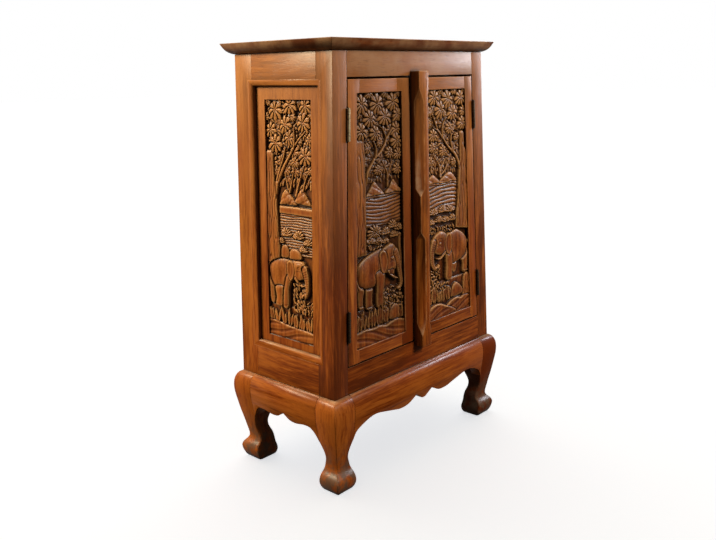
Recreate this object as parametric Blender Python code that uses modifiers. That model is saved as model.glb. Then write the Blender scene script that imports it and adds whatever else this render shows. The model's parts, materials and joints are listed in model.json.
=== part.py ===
"""A small carved cupboard that stands on four cabriole legs.

The sides lean inwards towards the top, so the posts, side frames, hinge lines and door edges lean with
them, while the front and the back stay upright. All lengths are in metres. Z is up, the doors face -Y, and
the origin is on the floor, under the middle of the whole piece.
"""

import math

import bmesh
import bpy
from mathutils import Matrix, Vector

# Whole piece
stand_height = 0.2003
body_height = 0.6641
cornice_height = 0.0216
body_depth = 0.280
half_width_bottom = 0.2600
half_width_top = 0.2314
cornice_reach = 0.0205
seat_gap = 0.0003
overrun = 0.004

# Posts, rails and joints of the body
post_width = 0.037
front_post_depth = 0.0434
rear_post_depth = 0.051
front_rail_thickness = 0.020
top_rail_height = 0.0480
bottom_rail_height = 0.0549
back_rail_thickness = 0.022
tenon_length = 0.018
tenon_thickness = 0.009
tenon_setback = 0.009
tenon_shoulder = 0.011

# Moulded side frames and their carved panels
side_top_rail_height = 0.0628
side_bottom_rail_height = 0.0762
moulding_width = 0.0115
moulding_depth = 0.009
side_panel_recess = 0.0105
side_panel_thickness = 0.014
groove_depth = 0.009
side_field_width = 0.134
side_field_bottom_margin = 0.016
side_field_top_margin = 0.026
side_field_depth = 0.008

# Back, floor, shelf and their supports
back_panel_thickness = 0.008
back_panel_setback = 0.007
floor_thickness = 0.014
floor_lip = 0.006
shelf_thickness = 0.014
shelf_rise = 0.262
cleat_width = 0.012
cleat_height = 0.018
stop_depth = 0.012
stop_height = 0.038
stop_drop = 0.010

# Doors
door_thickness = 0.020
door_top_gap = 0.004
door_bottom_gap = 0.0025
hinge_gap = 0.0025
meeting_gap = 0.003
door_border = 0.0245
door_top_rail_height = 0.0262
door_bottom_rail_height = 0.0275
left_hinge_stile_width = 0.0315
left_meeting_stile_width = 0.0368
right_hinge_stile_width = 0.0262
field_to_centre = 0.0429
door_panel_recess = 0.005
door_panel_thickness = 0.009
door_panel_lap = 0.002
door_carving_depth = 0.0062
stub_margin = 0.006

# Carving that stands up from the sunk ground of a panel
side_relief = 0.0076
door_relief = 0.0092
form_root = 0.001

# Bar on the right door's meeting stile
bar_half_width = 0.015
bar_proud = 0.0235
bar_overlap = 0.009
bar_chamfer = 0.010
bar_short_stop = 0.016
bar_long_stop = 0.027
upper_chamfer_from_top = 0.0334
upper_chamfer_length = 0.220
lower_chamfer_from_bottom = 0.024
lower_chamfer_length = 0.2265

# Butt hinges
hinge_length = 0.060
hinge_leaf_width = 0.016
hinge_leaf_thickness = 0.001
knuckle_radius = 0.0032
hinge_pin_radius = 0.0015
pin_clearance = 0.00006
pin_head_radius = 0.0024
pin_head_height = 0.0012
knuckle_count = 5
lower_hinge_rise = 0.0811
upper_hinge_drop = 0.0831

# Stand
leg_block = 0.040
knee_reach = 0.0166
arris_radius = 0.002
inner_corner_radius = 0.008
apron_thickness = 0.018
apron_drop = 0.0948
apron_tenon_height = 0.034
apron_tenon_setback = 0.010

# Heights and places that follow from the sizes above
body_bottom = stand_height
body_top = stand_height + body_height
total_height = body_top + cornice_height
front_y = (bar_proud - cornice_reach - body_depth) / 2
back_y = front_y + body_depth
opening_bottom = body_bottom + bottom_rail_height
opening_top = body_top - top_rail_height
door_bottom = opening_bottom + door_bottom_gap
door_top = opening_top - door_top_gap
field_bottom = door_bottom + door_bottom_rail_height
field_top = door_top - door_top_rail_height
lower_hinge_height = door_bottom + lower_hinge_rise
upper_hinge_height = door_top - upper_hinge_drop
floor_top = opening_bottom + floor_lip
shelf_top = floor_top + shelf_rise
lean_angle = math.atan((half_width_bottom - half_width_top) / body_height)

# Shares of the leg height, of the knee's reach, of the leg block and of the corner radius
leg_profile_shares = (
    (1.000, 0.00, 1.00, 0.10),
    (0.981, 0.44, 1.00, 0.10),
    (0.950, 0.71, 1.00, 0.10),
    (0.909, 0.90, 1.00, 0.10),
    (0.866, 0.98, 1.00, 0.10),
    (0.815, 1.00, 1.00, 0.10),
    (0.750, 0.94, 1.00, 0.10),
    (0.640, 0.72, 1.00, 0.10),
    (0.575, 0.58, 1.00, 0.10),
    (0.527, 0.47, 1.00, 0.12),
    (0.470, 0.32, 0.92, 0.40),
    (0.405, 0.16, 0.85, 0.60),
    (0.340, 0.01, 0.88, 0.80),
    (0.275, -0.14, 1.00, 0.80),
    (0.235, -0.14, 1.05, 0.80),
    (0.203, 0.06, 1.07, 0.70),
    (0.170, 0.42, 1.08, 0.60),
    (0.135, 0.60, 1.11, 0.60),
    (0.100, 0.59, 1.15, 0.60),
    (0.060, 0.47, 1.17, 0.60),
    (0.020, 0.27, 1.12, 0.60),
    (0.000, 0.10, 1.05, 0.60),
)

# Underside of an apron, as shares of its half length and of its drop, from the leg to the middle
front_scallop_shares = (
    ((1.000, 1.000), (0.985, 0.900), (0.953, 0.798), (0.864, 0.692), (0.773, 0.628), (0.687, 0.622),
     (0.546, 0.696), (0.450, 0.749), (0.364, 0.793), (0.262, 0.790), (0.186, 0.721), (0.125, 0.627)),
    ((0.125, 0.627), (0.073, 0.710), (0.027, 0.784), (0.000, 0.792)),
)
side_scallop_shares = (
    ((1.000, 1.000), (0.965, 0.917), (0.880, 0.790), (0.773, 0.718), (0.614, 0.714), (0.480, 0.740),
     (0.340, 0.760), (0.190, 0.741), (0.090, 0.680), (0.000, 0.610)),
)

# Edge of the cornice, as shares of its reach and of its height
cornice_shares = (
    (0.00, 0.00), (0.14, 0.03), (0.28, 0.085), (0.44, 0.175), (0.60, 0.31), (0.72, 0.46), (0.80, 0.58),
    (1.00, 0.965), (0.985, 1.00),
)

# Ovolo round the side openings, as shares of its width and of its depth
moulding_shares = ((1.00, 0.00), (0.92, 0.38), (0.70, 0.71), (0.38, 0.92), (0.00, 1.00))

# Main forms of the carving: how far each stands up, as a share of the relief, and its outline as shares of the
# field's width from the hinge, or from the front, and of its height
left_door_form_shares = (
    ("ledge", 0.84, ((0, 0), (1, 0), (1, 0.060), (0.62, 0.068), (0.34, 0.062), (0, 0.066))),
    ("water", 0.20, ((0.20, 0.47), (1, 0.46), (1, 0.60), (0.20, 0.60))),
    ("near_hill", 0.50, ((0.28, 0.58), (0.36, 0.615), (0.46, 0.655), (0.52, 0.65), (0.69, 0.58))),
    ("far_hill", 0.57, ((0.66, 0.58), (0.74, 0.62), (0.83, 0.655), (0.91, 0.63), (1, 0.58))),
    ("bushes", 0.54, ((0.02, 0.36), (0.03, 0.42), (0.12, 0.435), (0.26, 0.44), (0.34, 0.48), (0.44, 0.49),
                      (0.56, 0.46), (0.70, 0.465), (0.78, 0.49), (0.92, 0.48), (0.98, 0.45), (0.97, 0.38))),
    ("trunk", 0.88, ((0, 0.37), (0.235, 0.37), (0.225, 0.50), (0.23, 0.63), (0.20, 0.79), (0.16, 0.83), (0, 0.83))),
    ("branch", 0.80, ((0.17, 0.65), (0.21, 0.62), (0.29, 0.69), (0.44, 0.742), (0.64, 0.787), (0.69, 0.82),
                      (0.56, 0.875), (0.61, 0.80), (0.42, 0.758), (0.25, 0.706))),
    ("elephant", 0.97, ((0.04, 0.32), (0.04, 0.24), (0.06, 0.16), (0.14, 0.155), (0.18, 0.22), (0.225, 0.147),
                        (0.35, 0.145), (0.38, 0.235), (0.42, 0.232), (0.43, 0.146), (0.565, 0.145), (0.59, 0.245),
                        (0.71, 0.27), (0.86, 0.275), (0.90, 0.225), (0.86, 0.195), (0.93, 0.19), (0.985, 0.25),
                        (0.95, 0.34), (0.885, 0.37), (0.77, 0.395), (0.61, 0.385), (0.38, 0.375), (0.23, 0.363),
                        (0.12, 0.347))),
    ("ear", 1.04, ((0.47, 0.365), (0.55, 0.378), (0.62, 0.365), (0.645, 0.33), (0.62, 0.295), (0.55, 0.275),
                   (0.48, 0.30))),
    ("stone", 0.78, ((0.70, 0.06), (0.705, 0.10), (0.77, 0.135), (0.86, 0.135), (0.93, 0.09), (0.92, 0.06))),
)
right_door_form_shares = (
    ("ledge", 0.84, ((0, 0), (1, 0), (1, 0.042), (0.84, 0.066), (0.59, 0.044), (0.44, 0.062), (0.30, 0.068),
                     (0, 0.060))),
    ("water", 0.20, ((0.22, 0.47), (1, 0.46), (1, 0.60), (0.20, 0.60))),
    ("near_hill", 0.50, ((1, 0.58), (0.93, 0.62), (0.84, 0.645), (0.76, 0.63), (0.64, 0.58))),
    ("far_hill", 0.57, ((0.72, 0.58), (0.62, 0.62), (0.50, 0.648), (0.40, 0.645), (0.27, 0.615), (0.18, 0.58))),
    ("bushes", 0.54, ((0.03, 0.37), (0.05, 0.43), (0.18, 0.45), (0.33, 0.465), (0.42, 0.505), (0.52, 0.485),
                      (0.62, 0.51), (0.73, 0.485), (0.84, 0.505), (0.96, 0.47), (0.97, 0.37))),
    ("trunk", 0.88, ((0, 0.37), (0.29, 0.385), (0.285, 0.45), (0.22, 0.55), (0.20, 0.61), (0.14, 0.69),
                     (0.13, 0.81), (0.05, 0.82), (0, 0.73))),
    ("branch", 0.80, ((0.10, 0.66), (0.17, 0.64), (0.30, 0.714), (0.50, 0.757), (0.665, 0.804), (0.79, 0.855),
                      (0.90, 0.915), (0.76, 0.868), (0.63, 0.822), (0.475, 0.777), (0.28, 0.737))),
    ("elephant", 0.97, ((0.01, 0.33), (0.01, 0.24), (0.03, 0.177), (0.14, 0.175), (0.17, 0.235), (0.41, 0.228),
                        (0.445, 0.166), (0.58, 0.163), (0.585, 0.272), (0.74, 0.283), (0.86, 0.283),
                        (0.84, 0.252), (0.77, 0.247), (0.75, 0.228), (0.84, 0.215), (0.95, 0.245), (0.98, 0.31),
                        (0.96, 0.355), (0.84, 0.383), (0.68, 0.39), (0.56, 0.376), (0.40, 0.380), (0.22, 0.382),
                        (0.08, 0.357))),
    ("ear", 1.04, ((0.51, 0.378), (0.59, 0.360), (0.61, 0.325), (0.58, 0.292), (0.51, 0.277), (0.44, 0.30),
                   (0.43, 0.35))),
    ("stone", 0.76, ((0.17, 0.05), (0.17, 0.10), (0.25, 0.125), (0.33, 0.135), (0.43, 0.11), (0.45, 0.05))),
)
side_form_shares = (
    ("ledge", 0.76, ((0, 0), (1, 0), (1, 0.072), (0.60, 0.064), (0.30, 0.058), (0, 0.050))),
    ("water", 0.14, ((0, 0.37), (0.75, 0.37), (0.75, 0.54), (0, 0.54))),
    ("shore", 0.48, ((0, 0.535), (0.76, 0.535), (0.76, 0.568), (0, 0.566))),
    ("near_hill", 0.58, ((0, 0.56), (0.08, 0.60), (0.22, 0.643), (0.28, 0.643), (0.38, 0.60), (0.45, 0.56))),
    ("far_hill", 0.66, ((0.38, 0.56), (0.48, 0.61), (0.60, 0.637), (0.67, 0.62), (0.74, 0.56))),
    ("bushes", 0.52, ((0.04, 0.38), (0.03, 0.43), (0.12, 0.445), (0.20, 0.44), (0.30, 0.478), (0.42, 0.465),
                      (0.50, 0.45), (0.60, 0.482), (0.71, 0.465), (0.73, 0.37), (0.50, 0.345), (0.26, 0.345))),
    ("trunk", 0.80, ((0.74, 0.305), (0.73, 0.39), (0.76, 0.51), (0.79, 0.60), (0.84, 0.72), (0.87, 0.795),
                     (1, 0.795), (1, 0.305))),
    ("branch", 0.84, ((0.86, 0.59), (0.78, 0.60), (0.645, 0.694), (0.525, 0.736), (0.43, 0.773), (0.256, 0.837),
                      (0.13, 0.880), (0.30, 0.856), (0.47, 0.808), (0.614, 0.752), (0.73, 0.713), (0.86, 0.66))),
    ("elephant", 0.98, ((0.99, 0.30), (0.965, 0.152), (0.865, 0.150), (0.86, 0.20), (0.835, 0.137), (0.68, 0.138),
                        (0.675, 0.19), (0.665, 0.137), (0.547, 0.140), (0.515, 0.222), (0.47, 0.268),
                        (0.31, 0.262), (0.205, 0.275), (0.19, 0.232), (0.235, 0.212), (0.25, 0.190),
                        (0.16, 0.187), (0.09, 0.222), (0.085, 0.274), (0.12, 0.318), (0.19, 0.338), (0.29, 0.347),
                        (0.49, 0.346), (0.70, 0.345), (0.85, 0.334), (0.95, 0.318))),
    ("ear", 1.05, ((0.56, 0.336), (0.42, 0.33), (0.40, 0.30), (0.43, 0.272), (0.49, 0.256), (0.547, 0.272),
                   (0.577, 0.305))),
)

# Clusters of leaves in the trees, as shares of the field: across, up, and their radius as a share of its width
left_door_cluster_shares = (
    (0.12, 0.965, 0.175), (0.46, 0.965, 0.185), (0.81, 0.97, 0.17), (0.30, 0.905, 0.155), (0.64, 0.908, 0.16),
    (0.88, 0.845, 0.15), (0.11, 0.852, 0.155), (0.42, 0.845, 0.14),
)
right_door_cluster_shares = (
    (0.10, 0.97, 0.16), (0.45, 0.965, 0.185), (0.82, 0.97, 0.16), (0.32, 0.902, 0.155), (0.63, 0.915, 0.16),
    (0.150, 0.862, 0.130), (0.42, 0.835, 0.120), (0.86, 0.800, 0.155),
)
side_cluster_shares = (
    (0.13, 0.975, 0.145), (0.46, 0.975, 0.155), (0.79, 0.955, 0.170), (0.18, 0.908, 0.155), (0.57, 0.900, 0.150),
    (0.89, 0.880, 0.135), (0.79, 0.823, 0.165), (0.145, 0.777, 0.155),
)
cluster_rise_share = 0.66
cluster_step_share = 0.08
cluster_crown_share = 0.55

# How finely the round shapes are made
spline_steps = 3
leg_spline_steps = 2
corner_steps = 3
round_sides = 12
cluster_sides = 6

# Colours
body_brown = (0.36, 0.15, 0.055)
carved_brown = (0.44, 0.20, 0.08)
inner_brown = (0.30, 0.14, 0.06)
hinge_bronze = (0.30, 0.21, 0.11)

parts = bpy.data.collections.new("highboard")
cutters = bpy.data.collections.new("cutters")


def clear_scene():
    """Remove what the scene holds and link the two collections."""
    for old in list(bpy.data.objects):
        bpy.data.objects.remove(old, do_unlink=True)
    bpy.context.scene.collection.children.link(parts)
    bpy.context.scene.collection.children.link(cutters)


def add_object(name, mesh):
    """Link a mesh as a part."""
    obj = bpy.data.objects.new(name, mesh)
    parts.objects.link(obj)
    return obj


def as_cutter(obj):
    """Move an object to the cutters, where it shows as wire and is not rendered."""
    parts.objects.unlink(obj)
    cutters.objects.link(obj)
    obj.hide_render = True
    obj.display_type = "WIRE"
    return obj


def combine(obj, other, operation):
    """Cut, join or intersect a part with a cutter."""
    modifier = obj.modifiers.new(other.name, "BOOLEAN")
    modifier.operation = operation
    modifier.solver = "EXACT"
    modifier.object = other


def cut(obj, *others):
    """Cut every given shape out of a part."""
    for other in others:
        combine(obj, other, "DIFFERENCE")


def finish(obj, colour, roughness=0.42, metallic=0.0):
    """Give a part a material of its own."""
    material = bpy.data.materials.new(obj.name)
    material.use_nodes = True
    shader = material.node_tree.nodes["Principled BSDF"]
    shader.inputs["Base Color"].default_value = (*colour, 1.0)
    shader.inputs["Roughness"].default_value = roughness
    shader.inputs["Metallic"].default_value = metallic
    material.diffuse_color = (*colour, 1.0)
    obj.data.materials.append(material)
    return obj


def plate(name, outline, start, end, along="Y"):
    """Extrude a flat outline of (x, z) points along Y, or of (y, z) points along X."""
    curve = bpy.data.curves.new(name, "CURVE")
    curve.dimensions = "2D"
    curve.fill_mode = "BOTH"
    curve.extrude = abs(end - start) / 2
    spline = curve.splines.new("POLY")
    spline.points.add(len(outline) - 1)
    for point, (across, height) in zip(spline.points, outline):
        point.co = (across, height, 0.0, 1.0)
    spline.use_cyclic_u = True
    drawn = bpy.data.objects.new(name + "_outline", curve)
    parts.objects.link(drawn)
    bpy.context.view_layer.update()
    evaluated = drawn.evaluated_get(bpy.context.evaluated_depsgraph_get())
    mesh = bpy.data.meshes.new_from_object(evaluated)
    bpy.data.objects.remove(drawn, do_unlink=True)
    bpy.data.curves.remove(curve)
    mesh.name = name
    weld(mesh)
    obj = add_object(name, mesh)
    middle = (start + end) / 2
    if along == "Y":
        turn = Matrix(((1, 0, 0), (0, 0, -1), (0, 1, 0)))
        place = Vector((0, middle, 0))
    else:
        turn = Matrix(((0, 0, 1), (1, 0, 0), (0, 1, 0)))
        place = Vector((middle, 0, 0))
    obj.matrix_world = Matrix.Translation(place) @ turn.to_4x4()
    return obj


def weld(mesh):
    """Weld loose caps and point every face outwards."""
    shape = bmesh.new()
    shape.from_mesh(mesh)
    bmesh.ops.remove_doubles(shape, verts=shape.verts, dist=seat_gap / 30)
    bmesh.ops.recalc_face_normals(shape, faces=shape.faces)
    shape.to_mesh(mesh)
    shape.free()


def box(name, low, high):
    """A plain box between two corners."""
    shape = bmesh.new()
    bmesh.ops.create_cube(shape, size=1.0)
    low = Vector(low)
    high = Vector(high)
    size = high - low
    stretch = Matrix.Diagonal((abs(size.x), abs(size.y), abs(size.z), 1.0))
    bmesh.ops.transform(shape, matrix=Matrix.Translation((low + high) / 2) @ stretch, verts=shape.verts)
    mesh = bpy.data.meshes.new(name)
    shape.to_mesh(mesh)
    shape.free()
    return add_object(name, mesh)


def loft(name, sections, smooth_angle=None):
    """Skin a row of sections that have the same number of points, and cap both ends."""
    shape = bmesh.new()
    rings = [[shape.verts.new(point) for point in section] for section in sections]
    count = len(rings[0])
    for lower, upper in zip(rings, rings[1:]):
        for index in range(count):
            following = (index + 1) % count
            shape.faces.new((lower[index], lower[following], upper[following], upper[index]))
    shape.faces.new(rings[0])
    shape.faces.new(rings[-1])
    bmesh.ops.recalc_face_normals(shape, faces=shape.faces)
    mesh = bpy.data.meshes.new(name)
    shape.to_mesh(mesh)
    shape.free()
    if smooth_angle is not None:
        mesh.shade_smooth()
        mesh.set_sharp_from_angle(angle=smooth_angle)
    return add_object(name, mesh)


def curve_through(points, steps):
    """A smooth open curve through points, as a list with some steps between each pair."""
    padded = [points[0], *points, points[-1]]
    curve = []
    for before, start, end, after in zip(padded, padded[1:], padded[2:], padded[3:]):
        for step in range(steps):
            t = step / steps
            curve.append(tuple(
                0.5 * (2 * b + (c - a) * t + (2 * a - 5 * b + 4 * c - d) * t * t
                       + (3 * b - a - 3 * c + d) * t * t * t)
                for a, b, c, d in zip(before, start, end, after)))
    curve.append(tuple(points[-1]))
    return curve


def half_width(height):
    """Half the body's width at a height."""
    share = (height - body_bottom) / body_height
    return half_width_bottom + (half_width_top - half_width_bottom) * share


def leaning(side, inset):
    """A line that leans with one side of the body, some way in from its outer face."""
    return lambda height: side * (half_width(height) - inset)


def plumb(x):
    """An upright line."""
    return lambda height: x


def between(line_a, line_b, bottom, top):
    """The outline between two lines and two heights."""
    return [(line_a(bottom), bottom), (line_b(bottom), bottom), (line_b(top), top), (line_a(top), top)]


def side_slab(name, side, outer, inner, start, end, bottom, top):
    """A board that leans with one side, between two distances in from the side's outer face."""
    return plate(name, between(leaning(side, outer), leaning(side, inner), bottom, top), start, end)


def carve(panel, lines, span, ground, relief, forms, clusters):
    """Leave the main forms of the carving standing on a panel's sunk ground."""
    start, end = lines
    bottom, top = span

    def inside(across, height):
        height = min(max(height, bottom), top)
        low, high = sorted((start(height), end(height)))
        return min(max(across, low), high), height

    def at(share_across, share_up):
        height = bottom + (top - bottom) * share_up
        return start(height) + (end(height) - start(height)) * share_across, height

    for stem, rise_share, shares in forms:
        outline = [at(*share) for share in shares]
        sections = [[ground(across, height, rise) for across, height in outline]
                    for rise in (-form_root, relief * rise_share)]
        combine(panel, as_cutter(loft(panel.name + "_" + stem, sections)), "UNION")
    width = abs(end(top) - start(top))
    for number, (share_across, share_up, radius_share) in enumerate(clusters):
        across, height = at(share_across, share_up)
        crown = relief * (cluster_rise_share + cluster_step_share * (number % 3))
        sections = []
        for rise, spread in ((-form_root, 1.0), (crown, cluster_crown_share)):
            ring = []
            for side in range(cluster_sides):
                angle = 2 * math.pi * side / cluster_sides
                radius = width * radius_share * spread
                ring.append(ground(*inside(across + radius * math.cos(angle), height + radius * math.sin(angle)),
                                   rise))
            sections.append(ring)
        name = panel.name + "_leaves_" + str(number + 1)
        combine(panel, as_cutter(loft(name, sections)), "UNION")


def mirrored_name(stem, side):
    """A name that ends in left or right."""
    return stem + ("_left" if side < 0 else "_right")


def rear_side_y():
    """Front and back of the side openings."""
    return front_y + front_post_depth, back_y - rear_post_depth


def build_side_frame(side):
    """Two posts, two rails and the carved panel of one side."""
    frame_front, frame_back = rear_side_y()
    panel_bottom = body_bottom + side_bottom_rail_height
    panel_top = body_top - side_top_rail_height
    front_post = side_slab(mirrored_name("post_front", side), side, 0, post_width,
                           front_y, frame_front, body_bottom, body_top)
    rear_post = side_slab(mirrored_name("post_rear", side), side, 0, post_width,
                          frame_back, back_y, body_bottom, body_top)
    rails = []
    tenon_outer = (post_width - tenon_thickness) / 2
    tenon_inner = tenon_outer + tenon_thickness
    for stem, bottom, top in (("side_rail_bottom", body_bottom, panel_bottom),
                              ("side_rail_top", panel_top, body_top)):
        name = mirrored_name(stem, side)
        rail = side_slab(name, side, 0, post_width,
                         frame_front + seat_gap, frame_back - seat_gap, bottom, top)
        tenon_bottom = bottom + tenon_shoulder
        tenon_top = top - tenon_shoulder
        tenon = as_cutter(side_slab(name + "_tenon", side, tenon_outer, tenon_inner,
                                    frame_front - tenon_length, frame_back + tenon_length,
                                    tenon_bottom, tenon_top))
        mortise = as_cutter(side_slab(name + "_mortise", side, tenon_outer - seat_gap, tenon_inner + seat_gap,
                                      frame_front - tenon_length - seat_gap,
                                      frame_back + tenon_length + seat_gap,
                                      tenon_bottom - seat_gap, tenon_top + seat_gap))
        combine(rail, tenon, "UNION")
        cut(front_post, mortise)
        cut(rear_post, mortise)
        rails.append(rail)
    inner = side_panel_recess + side_panel_thickness
    reach = groove_depth - seat_gap
    panel = side_slab(mirrored_name("side_panel", side), side, side_panel_recess, inner,
                      frame_front - reach, frame_back + reach, panel_bottom - reach, panel_top + reach)
    seat = as_cutter(side_slab(mirrored_name("side_panel_groove", side), side,
                               side_panel_recess - seat_gap, inner + seat_gap,
                               frame_front - groove_depth, frame_back + groove_depth,
                               panel_bottom - groove_depth, panel_top + groove_depth))
    field_middle = (frame_front + frame_back) / 2
    field_front = field_middle - side_field_width / 2
    field_back = field_middle + side_field_width / 2
    span = (panel_bottom + side_field_bottom_margin, panel_top - side_field_top_margin)
    ground_depth = side_panel_recess + side_field_depth
    field = as_cutter(side_slab(mirrored_name("side_field", side), side, side_panel_recess - overrun,
                                ground_depth, field_front, field_back, *span))
    cut(panel, field)
    carve(panel, (plumb(field_front - seat_gap), plumb(field_back + seat_gap)),
          (span[0] - seat_gap, span[1] + seat_gap),
          lambda across, height, rise: (leaning(side, ground_depth - rise)(height), across, height),
          side_relief, side_form_shares, side_cluster_shares)
    ovolo = side_moulding_cutter(side, frame_front, frame_back, panel_bottom, panel_top)
    for piece in (front_post, rear_post, *rails):
        cut(piece, seat, ovolo)
        finish(piece, body_brown)
    finish(panel, carved_brown)
    return front_post, rear_post


def side_moulding_cutter(side, front, back, bottom, top):
    """What the ovolo round a side opening takes away, with its corners mitred."""
    steps = [(1.0 + overrun / moulding_width, -overrun)]
    steps += [(width, depth * moulding_depth) for width, depth in moulding_shares]
    steps.append((-seat_gap / moulding_width, moulding_depth + seat_gap))
    sections = []
    for width, depth in steps:
        grow = width * moulding_width
        corners = ((front - grow, bottom - grow), (back + grow, bottom - grow),
                   (back + grow, top + grow), (front - grow, top + grow))
        sections.append([(leaning(side, depth)(height), y, height) for y, height in corners])
    return as_cutter(loft(mirrored_name("side_ovolo", side), sections))


def build_cross_rails(front_posts, rear_posts):
    """The rails across the front and the back, tenoned into the posts."""
    rows = (
        ("front_rail_bottom", body_bottom, opening_bottom, front_y, front_rail_thickness, front_posts),
        ("front_rail_top", opening_top, body_top, front_y, front_rail_thickness, front_posts),
        ("back_rail_bottom", body_bottom, opening_bottom, back_y, -back_rail_thickness, rear_posts),
        ("back_rail_top", opening_top, body_top, back_y, -back_rail_thickness, rear_posts),
    )
    rails = {}
    for name, bottom, top, face, thickness, posts in rows:
        inward = math.copysign(1.0, thickness)
        rail = plate(name, between(leaning(-1, post_width + seat_gap), leaning(1, post_width + seat_gap),
                                   bottom, top), face, face + thickness)
        near = face + inward * tenon_setback
        far = near + inward * tenon_thickness
        inset = post_width - tenon_length
        tenon = as_cutter(plate(name + "_tenon", between(leaning(-1, inset), leaning(1, inset),
                                                         bottom + tenon_shoulder, top - tenon_shoulder),
                                near, far))
        wider = inset - seat_gap
        mortise = as_cutter(plate(name + "_mortise",
                                  between(leaning(-1, wider), leaning(1, wider),
                                          bottom + tenon_shoulder - seat_gap,
                                          top - tenon_shoulder + seat_gap),
                                  near - inward * seat_gap, far + inward * seat_gap))
        combine(rail, tenon, "UNION")
        for post in posts:
            cut(post, mortise)
        rails[name] = finish(rail, body_brown)
    return rails


def build_back(rear_posts, rails):
    """The back panel, let into grooves in the rear posts and the back rails."""
    outer_face = back_y - back_panel_setback
    inner_face = outer_face - back_panel_thickness
    reach = groove_depth - seat_gap
    panel = plate("back_panel", between(leaning(-1, post_width - reach), leaning(1, post_width - reach),
                                        opening_bottom - reach, opening_top + reach),
                  inner_face, outer_face)
    inset = post_width - groove_depth
    seat = as_cutter(plate("back_panel_groove",
                           between(leaning(-1, inset), leaning(1, inset),
                                   opening_bottom - groove_depth, opening_top + groove_depth),
                           inner_face - seat_gap, outer_face + seat_gap))
    for piece in (*rear_posts, rails["back_rail_bottom"], rails["back_rail_top"]):
        cut(piece, seat)
    return finish(panel, inner_brown, 0.6)


def build_inside():
    """Floor, shelf, the cleats under them and the strip that the doors close against."""
    front_edge = front_y + door_thickness + seat_gap
    shelf_front = front_edge + stop_depth + seat_gap
    back_edge = back_y - back_panel_setback - back_panel_thickness - seat_gap
    inset = post_width + seat_gap
    floor_bottom = floor_top - floor_thickness
    shelf_bottom = shelf_top - shelf_thickness
    floor_back = back_y - back_rail_thickness - seat_gap
    floor = plate("floor_board", between(leaning(-1, inset), leaning(1, inset), floor_bottom, floor_top),
                  front_edge, floor_back)
    shelf = plate("shelf", between(leaning(-1, inset), leaning(1, inset), shelf_bottom, shelf_top),
                  shelf_front, back_edge)
    finish(floor, inner_brown, 0.6)
    finish(shelf, inner_brown, 0.6)
    for side in (-1, 1):
        for stem, top, front, back in (("floor_cleat", floor_bottom, front_edge, floor_back),
                                       ("shelf_cleat", shelf_bottom, shelf_front, back_edge)):
            cleat = side_slab(mirrored_name(stem, side), side, inset, inset + cleat_width,
                              front, back, top - seat_gap - cleat_height, top - seat_gap)
            finish(cleat, inner_brown, 0.6)
    stop = plate("door_stop", between(leaning(-1, inset), leaning(1, inset),
                                      opening_top - stop_drop, opening_top - stop_drop + stop_height),
                 front_edge, front_edge + stop_depth)
    finish(stop, inner_brown, 0.6)


def build_cornice():
    """The top board, with its moulded edge all round."""
    sections = []
    for reach_share, height_share in cornice_shares:
        half_x = half_width_top + cornice_reach * reach_share
        reach = cornice_reach * reach_share
        height = body_top + seat_gap + (cornice_height - seat_gap) * height_share
        sections.append([(-half_x, front_y - reach, height), (half_x, front_y - reach, height),
                         (half_x, back_y + reach, height), (-half_x, back_y + reach, height)])
    finish(loft("top_board", sections), body_brown)


def leg_profile():
    """Height, outward reach, inward reach and corner radius down a leg."""
    top = stand_height - seat_gap
    return [(share * top, reach * knee_reach, inward * leg_block, radius * inner_corner_radius)
            for share, reach, inward, radius in curve_through(leg_profile_shares, leg_spline_steps)]


def knee_at(height):
    """How far the stand's face bulges past the body at a height."""
    rows = leg_profile()
    for upper, lower in zip(rows, rows[1:]):
        if lower[0] <= height <= upper[0]:
            share = (height - lower[0]) / (upper[0] - lower[0])
            return lower[1] + (upper[1] - lower[1]) * share
    return rows[0][1]


def rounded_section(corners, radii, height):
    """A four-cornered section with each corner rounded by its own radius."""
    points = []
    count = len(corners)
    for index, radius in enumerate(radii):
        corner = Vector(corners[index])
        to_last = (Vector(corners[index - 1]) - corner).normalized()
        to_next = (Vector(corners[(index + 1) % count]) - corner).normalized()
        centre = corner + (to_last + to_next) * radius
        for step in range(corner_steps + 1):
            angle = step / corner_steps * math.pi / 2
            point = centre - to_next * radius * math.cos(angle) - to_last * radius * math.sin(angle)
            points.append((point.x, point.y, height))
    return points


def build_leg(name, side, end):
    """A cabriole leg whose outer faces bulge at the knee, draw in at the ankle and flare at the foot."""
    face_y = front_y if end < 0 else back_y
    sections = []
    for height, reach, inward, radius in leg_profile():
        outer_x = side * (half_width_bottom + reach)
        inner_x = side * (half_width_bottom - inward)
        outer_y = face_y + end * reach
        inner_y = face_y - end * inward
        corners = [(outer_x, outer_y), (inner_x, outer_y), (inner_x, inner_y), (outer_x, inner_y)]
        sections.append(rounded_section(corners, (arris_radius, radius, radius, radius), height))
    return finish(loft(name, sections, math.radians(40)), body_brown)


def scallop(shares, half_length, drop):
    """The outline of an apron, from its flat top to its scalloped underside."""
    top = stand_height - seat_gap
    low = stand_height
    half = []
    for run in shares:
        for along, down in curve_through(run, spline_steps):
            point = (along * half_length, low - down * drop)
            if not half or point != half[-1]:
                half.append(point)
    mirrored = [(-along, height) for along, height in reversed(half[:-1])]
    return [(-half_length, top), (half_length, top), *half, *mirrored]


def apron_profile(face, outward):
    """The section of an apron: the knee's curve outside and a flat face inside."""
    top = stand_height - seat_gap
    bottom = stand_height - apron_drop - overrun
    inner = face - outward * apron_thickness
    rows = [row for row in leg_profile() if row[0] > bottom]
    curve = [(face + outward * reach, height) for height, reach, inward, radius in rows]
    curve[0] = (face, top + overrun)
    curve.append((face + outward * knee_at(bottom), bottom))
    return [*curve, (inner, bottom), (inner, top + overrun)]


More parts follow.
